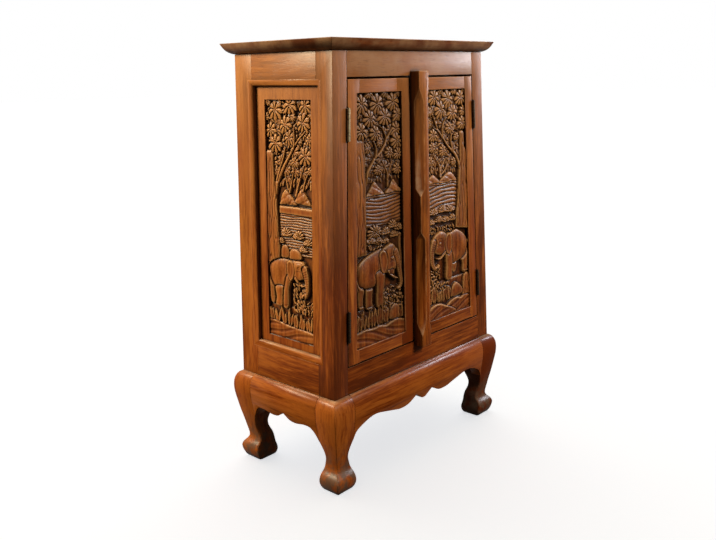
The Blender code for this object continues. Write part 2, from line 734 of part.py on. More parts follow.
def build_apron(name, shares, face, outward, half_length, drop, along, middle):
    """One board of the stand: a scalloped outline whose face follows the legs' knees."""
    outline = scallop(shares, half_length - seat_gap, drop)
    front = face + outward * (knee_reach + overrun)
    back = face - outward * (apron_thickness + overrun)
    shifted = [(across + middle, height) for across, height in outline]
    board = plate(name, shifted, min(front, back), max(front, back), along)
    across = "X" if along == "Y" else "Y"
    length = half_length + overrun
    profile = as_cutter(plate(name + "_profile", apron_profile(face, outward),
                              middle - length, middle + length, across))
    combine(board, profile, "INTERSECT")
    near = face - outward * apron_tenon_setback
    far = near - outward * tenon_thickness
    tenon_top = stand_height - tenon_shoulder
    tenon_bottom = tenon_top - apron_tenon_height
    reach = half_length + tenon_length
    low_corner = (middle - reach, min(near, far), tenon_bottom)
    high_corner = (middle + reach, max(near, far), tenon_top)
    growth = Vector((seat_gap, seat_gap, seat_gap))
    if along == "X":
        low_corner = (low_corner[1], low_corner[0], low_corner[2])
        high_corner = (high_corner[1], high_corner[0], high_corner[2])
    tenon = as_cutter(box(name + "_tenon", low_corner, high_corner))
    mortise = as_cutter(box(name + "_mortise", Vector(low_corner) - growth, Vector(high_corner) + growth))
    combine(board, tenon, "UNION")
    finish(board, body_brown)
    return mortise


def build_stand():
    """Four legs and the four scalloped aprons between them."""
    legs = {}
    for side in (-1, 1):
        for end in (-1, 1):
            name = mirrored_name("leg_front" if end < 0 else "leg_rear", side)
            legs[side, end] = build_leg(name, side, end)
    across = half_width_bottom - leg_block
    deep = body_depth / 2 - leg_block
    middle_y = (front_y + back_y) / 2
    for name, face, end in (("apron_front", front_y, -1), ("apron_back", back_y, 1)):
        mortise = build_apron(name, front_scallop_shares, face, end, across, apron_drop, "Y", 0.0)
        for side in (-1, 1):
            cut(legs[side, end], mortise)
    for side in (-1, 1):
        mortise = build_apron(mirrored_name("apron", side), side_scallop_shares, side * half_width_bottom,
                              side, deep, apron_drop, "X", middle_y)
        for end in (-1, 1):
            cut(legs[side, end], mortise)


def hinge_axis(side, height):
    """A point on a door's hinge line."""
    x = side * (half_width(height) - post_width - hinge_gap / 2)
    return Vector((x, front_y - knuckle_radius - seat_gap, height))


def hinge_frame(side, height):
    """The place of a hinge: its own Z runs along the pin, leaning with the post."""
    return Matrix.Translation(hinge_axis(side, height)) @ Matrix.Rotation(-side * lean_angle, 4, "Y")


def tube_row(name, radius, spans):
    """Cylinders on the hinge line, one for each span."""
    shape = bmesh.new()
    for low, high in spans:
        bmesh.ops.create_cone(shape, cap_ends=True, segments=round_sides, radius1=radius, radius2=radius,
                              depth=high - low, matrix=Matrix.Translation((0, 0, (low + high) / 2)))
    mesh = bpy.data.meshes.new(name)
    shape.to_mesh(mesh)
    shape.free()
    mesh.shade_smooth()
    mesh.set_sharp_from_angle(angle=math.radians(40))
    return add_object(name, mesh)


def build_hinge(stem, side, height):
    """Two leaves with interlocking knuckles and a headed pin; returns the seats cut for the leaves."""
    place = hinge_frame(side, height)
    pitch = hinge_length / knuckle_count
    spans = [(-hinge_length / 2 + pitch * index + seat_gap / 2,
              -hinge_length / 2 + pitch * (index + 1) - seat_gap / 2) for index in range(knuckle_count)]
    leaf_front = knuckle_radius + 2 * seat_gap
    seats = []
    pieces = []
    for owner, facing, own in (("frame", 1, spans[0::2]), ("door", -1, spans[1::2])):
        name = stem + "_" + owner + "_leaf"
        centre = side * facing * hinge_gap / 2
        start = centre - hinge_leaf_thickness / 2
        end = centre + hinge_leaf_thickness / 2
        outline = [(leaf_front + hinge_leaf_width, hinge_length / 2),
                   (leaf_front + hinge_leaf_width, -hinge_length / 2), (leaf_front, -hinge_length / 2)]
        for low, high in own:
            outline += [(leaf_front, low + seat_gap), (0, low + seat_gap),
                        (0, high - seat_gap), (leaf_front, high - seat_gap)]
        outline.append((leaf_front, hinge_length / 2))
        leaf = plate(name, outline, start, end, "X")
        knuckles = as_cutter(tube_row(name + "_knuckles", knuckle_radius, own))
        bore_radius = hinge_pin_radius / math.cos(math.pi / round_sides) + pin_clearance
        bore = as_cutter(tube_row(name + "_bore", bore_radius,
                                  [(-hinge_length / 2 - overrun, hinge_length / 2 + overrun)]))
        leaf.matrix_world = place @ leaf.matrix_world
        knuckles.matrix_world = place
        bore.matrix_world = place
        combine(leaf, knuckles, "UNION")
        cut(leaf, bore)
        finish(leaf, hinge_bronze, 0.38, 0.9)
        pieces.append(leaf)
        sunk = centre + side * facing * (hinge_leaf_thickness / 2 + seat_gap)
        seat = as_cutter(box(name + "_seat",
                             (min(sunk, sunk - side * facing * overrun), -overrun,
                              -hinge_length / 2 - seat_gap),
                             (max(sunk, sunk - side * facing * overrun),
                              leaf_front + hinge_leaf_width + seat_gap,
                              hinge_length / 2 + seat_gap)))
        seat.matrix_world = place
        seats.append(seat)
    pieces.append(build_pin(stem + "_pin", place))
    return seats, pieces


def build_pin(name, place):
    """A turned pin with a small head at each end."""
    end = hinge_length / 2 + seat_gap
    tip = end + pin_head_height
    profile = [(0, tip), (pin_head_radius / 2, tip), (pin_head_radius, end + pin_head_height / 2),
               (pin_head_radius, end), (hinge_pin_radius, end)]
    profile += [(radius, -height) for radius, height in reversed(profile)]
    mesh = bpy.data.meshes.new(name)
    shape = bmesh.new()
    verts = [shape.verts.new((radius, 0, height)) for radius, height in profile]
    for start, following in zip(verts, verts[1:]):
        shape.edges.new((start, following))
    shape.to_mesh(mesh)
    shape.free()
    pin = add_object(name, mesh)
    screw = pin.modifiers.new("turn", "SCREW")
    screw.axis = "Z"
    screw.angle = 2 * math.pi
    screw.steps = round_sides
    screw.render_steps = round_sides
    screw.use_merge_vertices = True
    screw.merge_threshold = seat_gap / 30
    screw.use_smooth_shade = True
    pin.matrix_world = place
    return finish(pin, hinge_bronze, 0.38, 0.9)


def build_door(label, side, meeting_x, hinge_stile_width, meeting_stile_width, forms, clusters):
    """Two stiles, two rails and the carved panel of one door."""
    edge_inset = post_width + hinge_gap
    front = front_y
    back = front_y + door_thickness
    hinge_edge = leaning(side, edge_inset)
    hinge_shoulder = leaning(side, edge_inset + hinge_stile_width)
    meeting_shoulder = plumb(meeting_x + side * meeting_stile_width)
    field_hinge = leaning(side, edge_inset + door_border)
    field_meeting = plumb(side * field_to_centre)
    stile = plate(label + "_hinge_stile", between(hinge_edge, hinge_shoulder, door_bottom, door_top),
                  front, back)
    other = plate(label + "_meeting_stile",
                  between(meeting_shoulder, plumb(meeting_x), door_bottom, door_top), front, back)
    panel_front = front + door_panel_recess
    panel_back = panel_front + door_panel_thickness
    pieces = [stile, other]
    shoulder_a = leaning(side, edge_inset + hinge_stile_width + seat_gap)
    shoulder_b = plumb(meeting_x + side * (meeting_stile_width + seat_gap))
    stub_a = leaning(side, edge_inset + hinge_stile_width - groove_depth + seat_gap)
    slot_a = leaning(side, edge_inset + hinge_stile_width - groove_depth)
    slot_to_centre = min(side * meeting_x + meeting_stile_width - groove_depth, field_to_centre - door_panel_lap)
    stub_b = plumb(side * (slot_to_centre + seat_gap))
    slot_b = plumb(side * slot_to_centre)
    for stem, bottom, top, low, high in (
            ("bottom", door_bottom, field_bottom, door_bottom + stub_margin,
             field_bottom - groove_depth - seat_gap),
            ("top", field_top, door_top, field_top + groove_depth + seat_gap, door_top - stub_margin)):
        name = label + "_" + stem + "_rail"
        rail = plate(name, between(shoulder_a, shoulder_b, bottom, top), front, back)
        stub = as_cutter(plate(name + "_stub", between(stub_a, stub_b, low, high),
                               panel_front + seat_gap, panel_back - seat_gap))
        combine(rail, stub, "UNION")
        pieces.append(rail)
    groove = as_cutter(plate(label + "_groove",
                             between(slot_a, slot_b, door_bottom + stub_margin - seat_gap,
                                     door_top - stub_margin + seat_gap),
                             panel_front - seat_gap, panel_back + seat_gap))
    carving = as_cutter(plate(label + "_carved_edge",
                              between(field_hinge, field_meeting, field_bottom, field_top),
                              front - overrun, panel_front))
    cut(stile, groove, carving)
    cut(other, groove, carving)
    reach = groove_depth - seat_gap
    slot = as_cutter(plate(label + "_panel_slot",
                           between(slot_a, slot_b, field_bottom - groove_depth, field_top + groove_depth),
                           panel_front - seat_gap, panel_back + seat_gap))
    for rail in pieces[2:]:
        cut(rail, slot)
    panel = plate(label + "_panel", between(stub_a, stub_b, field_bottom - reach, field_top + reach),
                  panel_front, panel_back)
    ground_y = panel_front + door_carving_depth
    sunk = as_cutter(plate(label + "_field",
                           between(leaning(side, edge_inset + door_border + 2 * seat_gap),
                                   plumb(side * (field_to_centre + 2 * seat_gap)),
                                   field_bottom + 2 * seat_gap, field_top - 2 * seat_gap),
                           panel_front - overrun, ground_y))
    cut(panel, sunk)
    carve(panel, (leaning(side, edge_inset + door_border + seat_gap), plumb(side * (field_to_centre + seat_gap))),
          (field_bottom + seat_gap, field_top - seat_gap),
          lambda across, height, rise: (across, ground_y - rise, height), door_relief, forms, clusters)
    pieces.append(panel)
    for piece in pieces[:-1]:
        finish(piece, body_brown)
    finish(panel, carved_brown)
    return pieces


def build_bar():
    """The bar on the right door's meeting stile, with two stopped chamfers on each edge."""
    bottom = opening_bottom - bar_overlap
    top = opening_top + bar_overlap
    back = front_y - seat_gap
    front = front_y - bar_proud
    bar = box("meeting_bar", (-bar_half_width, front, bottom), (bar_half_width, back, top))
    upper_top = top - upper_chamfer_from_top
    lower_bottom = bottom + lower_chamfer_from_bottom
    for stem, low, high, low_stop, high_stop in (
            ("upper", upper_top - upper_chamfer_length, upper_top, bar_short_stop, bar_long_stop),
            ("lower", lower_bottom, lower_bottom + lower_chamfer_length, bar_long_stop, bar_short_stop)):
        for side in (-1, 1):
            name = mirrored_name("bar_chamfer_" + stem, side)
            cut(bar, chamfer_cutter(name, side * bar_half_width, -side, front,
                                    low, high, low_stop, high_stop))
    return finish(bar, body_brown)


def chamfer_cutter(name, edge_x, inward, edge_y, low, high, low_stop, high_stop):
    """A chamfer along an upright edge that runs out to nothing at both ends."""
    past = overrun / 2
    rise = past / bar_chamfer
    sections = []
    for height, depth in ((low - low_stop * rise, -past), (low + low_stop, bar_chamfer),
                          (high - high_stop, bar_chamfer), (high + high_stop * rise, -past)):
        sections.append([(edge_x - inward * past, edge_y - past, height),
                         (edge_x + inward * (depth + past), edge_y - past, height),
                         (edge_x - inward * past, edge_y + depth + past, height)])
    return as_cutter(loft(name, sections))


def hang_on(empty_name, side, pieces):
    """Parent a door's pieces to an empty that lies on its hinge line."""
    empty = bpy.data.objects.new(empty_name, None)
    parts.objects.link(empty)
    empty.matrix_world = hinge_frame(side, lower_hinge_height)
    bpy.context.view_layer.update()
    for piece in pieces:
        piece.parent = empty
        piece.matrix_parent_inverse = empty.matrix_world.inverted()


def build_doors(front_posts):
    """Both doors, their hinges and the bar."""
    left_meeting = -bar_half_width - meeting_gap
    right_meeting = -bar_half_width
    left = build_door("left_door", -1, left_meeting, left_hinge_stile_width, left_meeting_stile_width,
                      left_door_form_shares, left_door_cluster_shares)
    right = build_door("right_door", 1, right_meeting, right_hinge_stile_width,
                       field_to_centre - right_meeting, right_door_form_shares, right_door_cluster_shares)
    right.append(build_bar())
    for label, side, pieces, post in (("left", -1, left, front_posts[0]), ("right", 1, right, front_posts[1])):
        for level, height in (("lower", lower_hinge_height), ("upper", upper_hinge_height)):
            seats, hinge = build_hinge(label + "_" + level + "_hinge", side, height)
            frame_seat, door_seat = seats
            frame_leaf, door_leaf, pin = hinge
            cut(post, frame_seat)
            cut(pieces[0], door_seat)
            pieces.append(door_leaf)
        hang_on(label + "_door_hinge_line", side, pieces)


def build():
    """The whole cupboard."""
    clear_scene()
    posts = [build_side_frame(side) for side in (-1, 1)]
    front_posts = [pair[0] for pair in posts]
    rear_posts = [pair[1] for pair in posts]
    rails = build_cross_rails(front_posts, rear_posts)
    build_back(rear_posts, rails)
    build_inside()
    build_cornice()
    build_stand()
    build_doors(front_posts)


build()
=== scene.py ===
"""The finished look of the carved cupboard: carving, rounded and worn wood, hinges, studio.

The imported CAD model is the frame, and every piece here rides on one of its bodies. Places are in metres in
the frame's axes, with Z up and the doors facing -Y. The carving is drawn in millimetres on the same axes.
"""

import json
import math

import bmesh
import bpy
import numpy as np
from mathutils import Matrix, Vector
from mathutils.bvhtree import BVHTree


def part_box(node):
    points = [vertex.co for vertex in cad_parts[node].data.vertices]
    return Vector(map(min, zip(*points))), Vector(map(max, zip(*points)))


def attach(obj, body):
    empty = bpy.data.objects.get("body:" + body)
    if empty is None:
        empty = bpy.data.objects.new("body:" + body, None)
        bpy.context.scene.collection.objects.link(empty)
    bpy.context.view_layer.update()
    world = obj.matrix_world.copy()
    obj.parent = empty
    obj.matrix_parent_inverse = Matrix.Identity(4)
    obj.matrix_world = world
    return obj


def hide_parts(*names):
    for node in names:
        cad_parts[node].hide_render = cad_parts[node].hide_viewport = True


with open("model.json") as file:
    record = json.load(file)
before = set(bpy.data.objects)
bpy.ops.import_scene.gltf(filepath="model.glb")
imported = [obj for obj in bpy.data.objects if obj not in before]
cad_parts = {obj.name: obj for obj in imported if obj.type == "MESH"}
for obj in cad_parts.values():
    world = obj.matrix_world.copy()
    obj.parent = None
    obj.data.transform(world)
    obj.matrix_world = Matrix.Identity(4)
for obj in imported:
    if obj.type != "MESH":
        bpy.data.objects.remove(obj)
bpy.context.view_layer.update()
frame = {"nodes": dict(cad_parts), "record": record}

MM = 0.001

# Sizes of the body, the side panels and the carved fields, in line with the CAD model
HALF_WIDTH_BOTTOM = 0.2600
HALF_WIDTH_TOP = 0.2314
DOOR_FIELD_INSET = 0.0640
DOOR_FIELD_TO_CENTRE = 0.0429
SIDE_PANEL_RECESS = 0.0105
SIDE_PANEL_THICKNESS = 0.014
SIDE_FIELD_MARGIN = 0.0258
SIDE_FIELD_BOTTOM_MARGIN = 0.016
SIDE_FIELD_TOP_MARGIN = 0.026
SIDE_GROOVE = 0.0087

# The carving's ground below the face of the frame, its grid in millimetres and its softening in cells
DOOR_GROUND_DEPTH = 0.0112
SIDE_GROUND_DEPTH = 0.0185
CARVING_PITCH = 0.9
CARVING_BLUR = 0.55

# Chamfers of the bar on the doors: as cut in the CAD, and as shown
BAR_CUT_CHAMFER = 0.010
BAR_LEFT_CHAMFER = 0.0142
BAR_RIGHT_CHAMFER = 0.0050
SAME_PLACE = 0.0001

# Rounding of the wood's edges, and its share where another board lies within the gap
EDGE_ROUND = 0.0016
JOINT_SHARE = 0.16
JOINT_GAP = 0.0007
SHARP_ANGLE = math.radians(24)
FLAT_ANGLE = math.radians(0.6)
MERGE_DISTANCE = 0.00001

post_low, post_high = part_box("post_front_left")
BODY_BOTTOM = post_low.z
BODY_TOP = post_high.z
FRONT_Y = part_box("front_rail_top")[0].y


def half_width(height):
    """Half the body's width at a height."""
    share = (height - BODY_BOTTOM) / (BODY_TOP - BODY_BOTTOM)
    return HALF_WIDTH_BOTTOM + (HALF_WIDTH_TOP - HALF_WIDTH_BOTTOM) * share


def body_of(node):
    """The body that a CAD node belongs to."""
    for body, members in frame["record"]["behaviour"]["bodies"].items():
        if node in members:
            return body
    return None


def finished_mesh(shape, name):
    """A mesh from a bmesh, with its faces turned outwards."""
    bmesh.ops.recalc_face_normals(shape, faces=shape.faces)
    mesh = bpy.data.meshes.new(name)
    shape.to_mesh(mesh)
    shape.free()
    return mesh


def add_piece(name, mesh, body):
    """Link a mesh as a piece that rides on a body."""
    piece = bpy.data.objects.new(name, mesh)
    bpy.context.scene.collection.objects.link(piece)
    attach(piece, body)
    return piece


# Materials

# Painted shade: the near-black brown laid where surfaces meet, on undersides and in carved hollows
PAINTED_SHADE_BROWN = (0.0060, 0.0020, 0.0008)
DARK_WOOD = (0.050, 0.0110, 0.0020)
MIDDLE_WOOD = (0.108, 0.0270, 0.0040)
LIGHT_WOOD = (0.190, 0.0600, 0.0095)
RED_WOOD = (0.120, 0.0190, 0.0022)
# Painted highlight with wear: the light colour laid on the carving's crests
CREST_HIGHLIGHT_AND_WEAR_WOOD = (0.300, 0.145, 0.048)
WORN_WOOD = (0.240, 0.1150, 0.0480)
# Painted sheen: the paler colour laid over the wood higher up
PAINTED_SHEEN_WOOD = (0.215, 0.0950, 0.0290)
FADED_WOOD = (0.165, 0.088, 0.045)
DUST = (0.230, 0.155, 0.100)
SCUFFED = (0.052, 0.034, 0.024)
# The tint that darkens the wood towards the bottom
LOW_DARKENING_TINT = (0.93, 0.58, 0.22)
PORE_STAIN = (0.45, 0.36, 0.30)
FLOOR_DARK = (0.93, 0.93, 0.93)
FLOOR_LIGHT = (0.95, 0.95, 0.95)

# Noise in the wood: scale, detail, roughness and distortion
FIGURE = (36.0, 4.0, 0.55, 0.4)
STREAKS = (165.0, 3.0, 0.6)
FINE_STREAKS = (420.0, 2.0, 0.6)
PORES = (800.0, 2.0, 0.5)
BLOTCHES = (7.0, 3.0, 0.6)
UNEVENNESS = (20.0, 2.0)

# How a seed moves the noise, how the grain sways, and how far the noise is drawn out along it
SEED_STEPS = ((1.37, 7.0), (2.11, 5.0), (0.73, 3.0))
SWAY_SCALE = 5.0
SWAY = 0.016
DRAWN_OUT_SHARE = 0.055

# Shares of figure, streaks, blotches and fine streaks in the tone, and the colours along it
PATTERN_SHARES = (0.55, 0.42, 0.22, 0.30)
TONE_SHIFT = -0.245
TONE_COLOURS = ((0.39, DARK_WOOD), (0.50, MIDDLE_WOOD), (0.63, LIGHT_WOOD))

# Patches over a board: scale, detail and roughness of the noise, and its values at the least and the most
RED_PATCHES = (4.0, 2.0, 0.55, 0.42, 0.68)
FADED_PATCHES = (14.0, 4.0, 0.65, 0.40, 0.60)
DUST_PATCHES = (34.0, 4.0, 0.60, 0.35, 0.62)
SCUFFED_PATCHES = (42.0, 4.0, 0.65, 0.38, 0.55)
WORN_PATCHES = (26.0, 3.0, 0.65, 0.40, 0.66)

# Where a share is none and where it is full: heights in metres, slopes as the Z of the normal
# Painted sheen from the first height up, and darkening towards the bottom below the second
PAINTED_SHEEN_HEIGHTS = (0.45, 0.90)
LOW_HEIGHTS = (0.50, 0.12)
SCUFFED_HEIGHTS = (0.110, 0.040)
FADED_SLOPES = (0.95, 0.50)
PORE_VALUES = (0.56, 0.70)
# Painted shade where surfaces meet: the occlusion values between which it is none and full, and how far it
# looks
PAINTED_SHADE_VALUES = (0.90, 0.40)
PAINTED_SHADE_REACH = 0.012

# Shares of the colours at their fullest
RED_SHARE = 0.45
PAINTED_SHEEN_SHARE = 0.42
LOW_SHARE = 0.45
# Painted shade on faces that point down, at its fullest
UNDERSIDE_PAINTED_SHADE_SHARE = 0.55
SCUFFED_SHARE = 0.85
PORE_SHARE = 0.5
CREST_SHARE = 0.70
HOLLOW_SHARE = 0.88
PAINTED_SHADE_SHARE = 0.92

# Dust on ledges: its share, and the slopes where it starts and is full; the same slopes, turned downwards,
# set the painted shade on undersides
DUST_AND_SHADE_ON_STAND = (0.75, 0.72, 0.98)
DUST_AND_SHADE_ON_BAR = (0.70, 0.14, 0.32)
DUST_AND_SHADE_ON_MOULDING = (0.60, 0.30, 0.80)

ROUGHNESS = (0.34, 0.46)
DUSTY_ROUGHNESS = (0.26, 0.38)
SHINE = 0.085
DUSTY_SHINE = 0.06
GRAIN_DEPTH = 0.00035
UNEVEN_DEPTH = 0.0007
BUMP_STRENGTH = 0.6


class Nodes:
    """A short way to write the nodes of a material or of the world."""

    def __init__(self, tree):
        self.tree = tree

    def add(self, kind, settings=None, **inputs):
        """A node with its settings, and its inputs by name: numbers, colours or outputs of other nodes."""
        node = self.tree.nodes.new(kind)
        for key, value in (settings or {}).items():
            setattr(node, key, value)
        for key, value in inputs.items():
            self.feed(node.inputs[key.replace("_", " ")], value)
        return node

    def feed(self, socket, value):
        if isinstance(value, bpy.types.NodeSocket):
            self.tree.links.new(value, socket)
        elif isinstance(value, tuple) and socket.type == "RGBA" and len(value) == 3:
            socket.default_value = (*value, 1.0)
        else:
            socket.default_value = value

    def chain(self, kind, settings, values):
        """The outputs of a node that takes values in order."""
        node = self.add(kind, settings)
        for socket, value in zip(node.inputs, values):
            self.feed(socket, value)
        return node.outputs

    def times(self, first, second):
        return self.chain("ShaderNodeMath", {"operation": "MULTIPLY"}, (first, second))[0]

    def total(self, *terms):
        """The sum of terms, each a value or a value with its weight."""
        total = None
        for term in terms:
            if isinstance(term, tuple):
                term = self.times(*term)
            if total is not None:
                term = self.chain("ShaderNodeMath", {"operation": "ADD"}, (total, term))[0]
            total = term
        return total

    def vector(self, operation, *values):
        return self.chain("ShaderNodeVectorMath", {"operation": operation}, values)

    def up(self, vector):
        """The Z of a vector."""
        return self.add("ShaderNodeSeparateXYZ", Vector=vector).outputs["Z"]

    def mix(self, factor, first, second, blend="MIX"):
        node = self.add("ShaderNodeMix", {"data_type": "RGBA", "blend_type": blend, "clamp_factor": True})
        for place, value in ((0, factor), (6, first), (7, second)):
            self.feed(node.inputs[place], value)
        return node.outputs[2]

    def ramp(self, value, stops):
        """Colours along a value; stops are (place, colour)."""
        node = self.add("ShaderNodeValToRGB", Fac=value)
        elements = node.color_ramp.elements
        while len(elements) < len(stops):
            elements.new(0.5)
        for element, (place, colour) in zip(elements, stops):
            element.position = place
            element.color = (*colour, 1.0)
        return node.outputs[0]

    def spread(self, value, low, high, to_low=0.0, to_high=1.0, curve="LINEAR"):
        """A value moved from one range to another, and held within it."""
        node = self.add("ShaderNodeMapRange", {"clamp": True, "interpolation_type": curve}, Value=value,
                        From_Min=low, From_Max=high, To_Min=to_low, To_Max=to_high)
        return node.outputs[0]

    def noise(self, vector, scale, detail, roughness=0.55, distortion=0.0):
        node = self.add("ShaderNodeTexNoise", Vector=vector, Scale=scale, Detail=detail,
                        Roughness=roughness, Distortion=distortion)
        return node.outputs["Fac"]

    def bump(self, height, distance, strength, normal=None):
        node = self.add("ShaderNodeBump", Height=height, Distance=distance, Strength=strength)
        if normal is not None:
            self.feed(node.inputs["Normal"], normal)
        return node.outputs["Normal"]


class Surface(Nodes):
    """The nodes of a material with one shader."""

    def __init__(self, name):
        self.material = bpy.data.materials.new(name)
        self.material.use_nodes = True
        super().__init__(self.material.node_tree)
        self.shader = self.tree.nodes["Principled BSDF"]
        self.place = self.add("ShaderNodeTexCoord").outputs["Object"]


class Wood(Surface):
    """Oiled hardwood, whose colour is laid on in coats."""

    def __init__(self, name, grain, seed):
        super().__init__(name)
        offset = tuple(seed * step % room for step, room in SEED_STEPS)
        self.plain = self.vector("ADD", self.place, offset)[0]
        sway = self.add("ShaderNodeTexNoise", Vector=self.plain, Scale=SWAY_SCALE, Detail=1.0)
        swayed = self.vector("MULTIPLY_ADD", sway.outputs["Color"], (SWAY,) * 3, self.plain)[0]
        along_grain = tuple(DRAWN_OUT_SHARE if axis == grain else 1.0 for axis in "XYZ")
        drawn = self.add("ShaderNodeMapping", Vector=swayed, Scale=along_grain).outputs[0]
        self.figure, self.streaks, self.pores, self.fine = (
            self.noise(drawn, *pattern) for pattern in (FIGURE, STREAKS, PORES, FINE_STREAKS))
        self.blotches = self.noise(self.plain, *BLOTCHES)
        self.height = self.up(self.place)
        self.slope = self.up(self.add("ShaderNodeNewGeometry").outputs["Normal"])
        self.pore_mask = self.spread(self.pores, *PORE_VALUES, 0.0, PORE_SHARE)

    def patches(self, kind, least=0.0, most=1.0):
        """Patches over the board that run from the least to the most."""
        scale, detail, roughness, low, high = kind
        return self.spread(self.noise(self.plain, scale, detail, roughness), low, high, least, most)

    def coat(self, share, colour):
        """Lay a colour over what is there."""
        self.colour = self.mix(share, self.colour, colour)

    def darken(self, share, tint):
        """Darken what is there."""
        self.coat(share, self.mix(1.0, self.colour, tint, "MULTIPLY"))

    def lay_ground(self, tone, red, painted_sheen):
        """Streaks from dark to light, redder in patches, paler higher up as painted sheen, and darker
        towards the bottom.
        """
        patterns = (self.figure, self.streaks, self.blotches, self.fine)
        self.colour = self.ramp(self.total(*zip(patterns, PATTERN_SHARES), tone + TONE_SHIFT), TONE_COLOURS)
        self.coat(self.patches(RED_PATCHES, red, min(1.0, RED_SHARE + red)), RED_WOOD)
        # Painted sheen: the wood pales higher up
        self.coat(self.spread(self.height, *PAINTED_SHEEN_HEIGHTS, 0.0, painted_sheen), PAINTED_SHEEN_WOOD)
        self.darken(self.spread(self.height, *LOW_HEIGHTS, 0.0, LOW_SHARE), LOW_DARKENING_TINT)

    def fade(self, share):
        """Bleached patches, fewer on what faces up."""
        on_edge = self.spread(self.slope, *FADED_SLOPES, 0.22, 1.0)
        self.coat(self.times(self.patches(FADED_PATCHES, 0.1 * share, share), on_edge), FADED_WOOD)

    def add_dust_and_underside_shade(self, share, start, full):
        """Dust on ledges, painted shade on undersides, and scuffed feet."""
        ledge = self.spread(self.slope, start, full, 0.0, share)
        self.coat(self.times(ledge, self.patches(DUST_PATCHES, 0.35)), DUST)
        # Painted shade: faces that point down are darkened
        self.coat(self.spread(self.slope, -start, -full, 0.0, UNDERSIDE_PAINTED_SHADE_SHARE), PAINTED_SHADE_BROWN)
        foot = self.spread(self.height, *SCUFFED_HEIGHTS, 0.0, SCUFFED_SHARE)
        self.coat(self.times(foot, self.patches(SCUFFED_PATCHES)), SCUFFED)

    def follow_carving(self):
        """Painted highlight with wear on the crests, and painted shade with dirt in the hollows, from the
        mesh's own attributes.
        """
        for key, share, colour in (("crest", CREST_SHARE, CREST_HIGHLIGHT_AND_WEAR_WOOD),
                                   ("hollow", HOLLOW_SHARE, PAINTED_SHADE_BROWN)):
            carved = self.add("ShaderNodeAttribute", {"attribute_name": key}).outputs["Fac"]
            self.coat(self.times(carved, share), colour)

    def add_painted_shade(self):
        """Painted shade where surfaces meet: darker where ambient occlusion finds other surfaces close by.
        """
        open_air = self.add("ShaderNodeAmbientOcclusion", {"samples": 6, "only_local": False},
                            Distance=PAINTED_SHADE_REACH).outputs["AO"]
        self.coat(self.spread(open_air, *PAINTED_SHADE_VALUES, 0.0, PAINTED_SHADE_SHARE), PAINTED_SHADE_BROWN)

    def finish(self, roughness, shine):
        """Feed the colour, the roughness and the relief of the grain to the shader."""
        self.feed(self.shader.inputs["Base Color"], self.colour)
        mean = self.total((self.streaks, 0.5), (self.blotches, 0.5))
        self.feed(self.shader.inputs["Roughness"], self.spread(mean, 0.3, 0.7, *roughness))
        self.shader.inputs["Specular IOR Level"].default_value = shine
        relief = self.total((self.streaks, 0.7), (self.pore_mask, -0.5))
        grain = self.bump(relief, GRAIN_DEPTH, BUMP_STRENGTH)
        wavy = self.bump(self.noise(self.plain, *UNEVENNESS), UNEVEN_DEPTH, BUMP_STRENGTH, grain)
        self.feed(self.shader.inputs["Normal"], wavy)


def wood(name, grain, seed, tone, worn=0.0, carved=False, red=0.0, painted_sheen=PAINTED_SHEEN_SHARE, faded=0.0, dust_and_shade=None):
    """Streaks and pores along the grain, painted shade with dirt in the hollows and where surfaces meet,
    painted highlight with wear on carved crests, wear on what stands proud.
    """
    nodes = Wood(name, grain, seed)
    nodes.lay_ground(tone, red, painted_sheen)
    if faded:
        nodes.fade(faded)
    if dust_and_shade:
        nodes.add_dust_and_underside_shade(*dust_and_shade)
    nodes.darken(nodes.pore_mask, PORE_STAIN)
    if carved:
        nodes.follow_carving()
    if worn:
        nodes.coat(nodes.times(nodes.patches(WORN_PATCHES, 0.15), worn), WORN_WOOD)
    nodes.add_painted_shade()
    nodes.finish(*((DUSTY_ROUGHNESS, DUSTY_SHINE) if dust_and_shade else (ROUGHNESS, SHINE)))
    return nodes.material


def brass(name, colour, dark, seed):
    """Old brass, darker where it has tarnished."""
    nodes = Surface(name)
    place = nodes.vector("ADD", nodes.place, (seed, seed * 0.6, seed * 0.3))[0]
    tarnish = nodes.spread(nodes.noise(place, 190.0, 4.0, 0.6), 0.38, 0.66)
    nodes.feed(nodes.shader.inputs["Base Color"], nodes.mix(tarnish, colour, dark))
    nodes.shader.inputs["Metallic"].default_value = 0.9
    nodes.feed(nodes.shader.inputs["Roughness"], nodes.spread(tarnish, 0.0, 1.0, 0.28, 0.55))
    scratch = nodes.noise(place, 900.0, 2.0)
    nodes.feed(nodes.shader.inputs["Normal"], nodes.bump(scratch, 0.0001, 0.5))
    return nodes.material


def floor_material():
    """Pale, slightly uneven studio floor that glows a little, as a lit sheet of paper does."""
    nodes = Surface("pale_floor")
    mottle = nodes.noise(nodes.place, 6.0, 3.0)
    nodes.feed(nodes.shader.inputs["Base Color"], nodes.mix(mottle, FLOOR_DARK, FLOOR_LIGHT))
    nodes.shader.inputs["Roughness"].default_value = 0.9
    nodes.shader.inputs["Specular IOR Level"].default_value = 0.1
    nodes.shader.inputs["Emission Color"].default_value = (0.93, 0.955, 1.0, 1.0)
    nodes.shader.inputs["Emission Strength"].default_value = FLOOR_GLOW
    return nodes.material


# Wood of the frame, the doors and the stand, by the first words of a board's name

GRAIN_ACROSS = ("front_rail", "back_rail", "apron_front", "apron_back", "top_board", "shelf", "floor_board",
                "door_stop")
GRAIN_DEEP = ("side_rail", "apron_left", "apron_right", "floor_cleat", "shelf_cleat")
CARVED = ("left_door_panel", "right_door_panel", "side_panel_left", "side_panel_right")
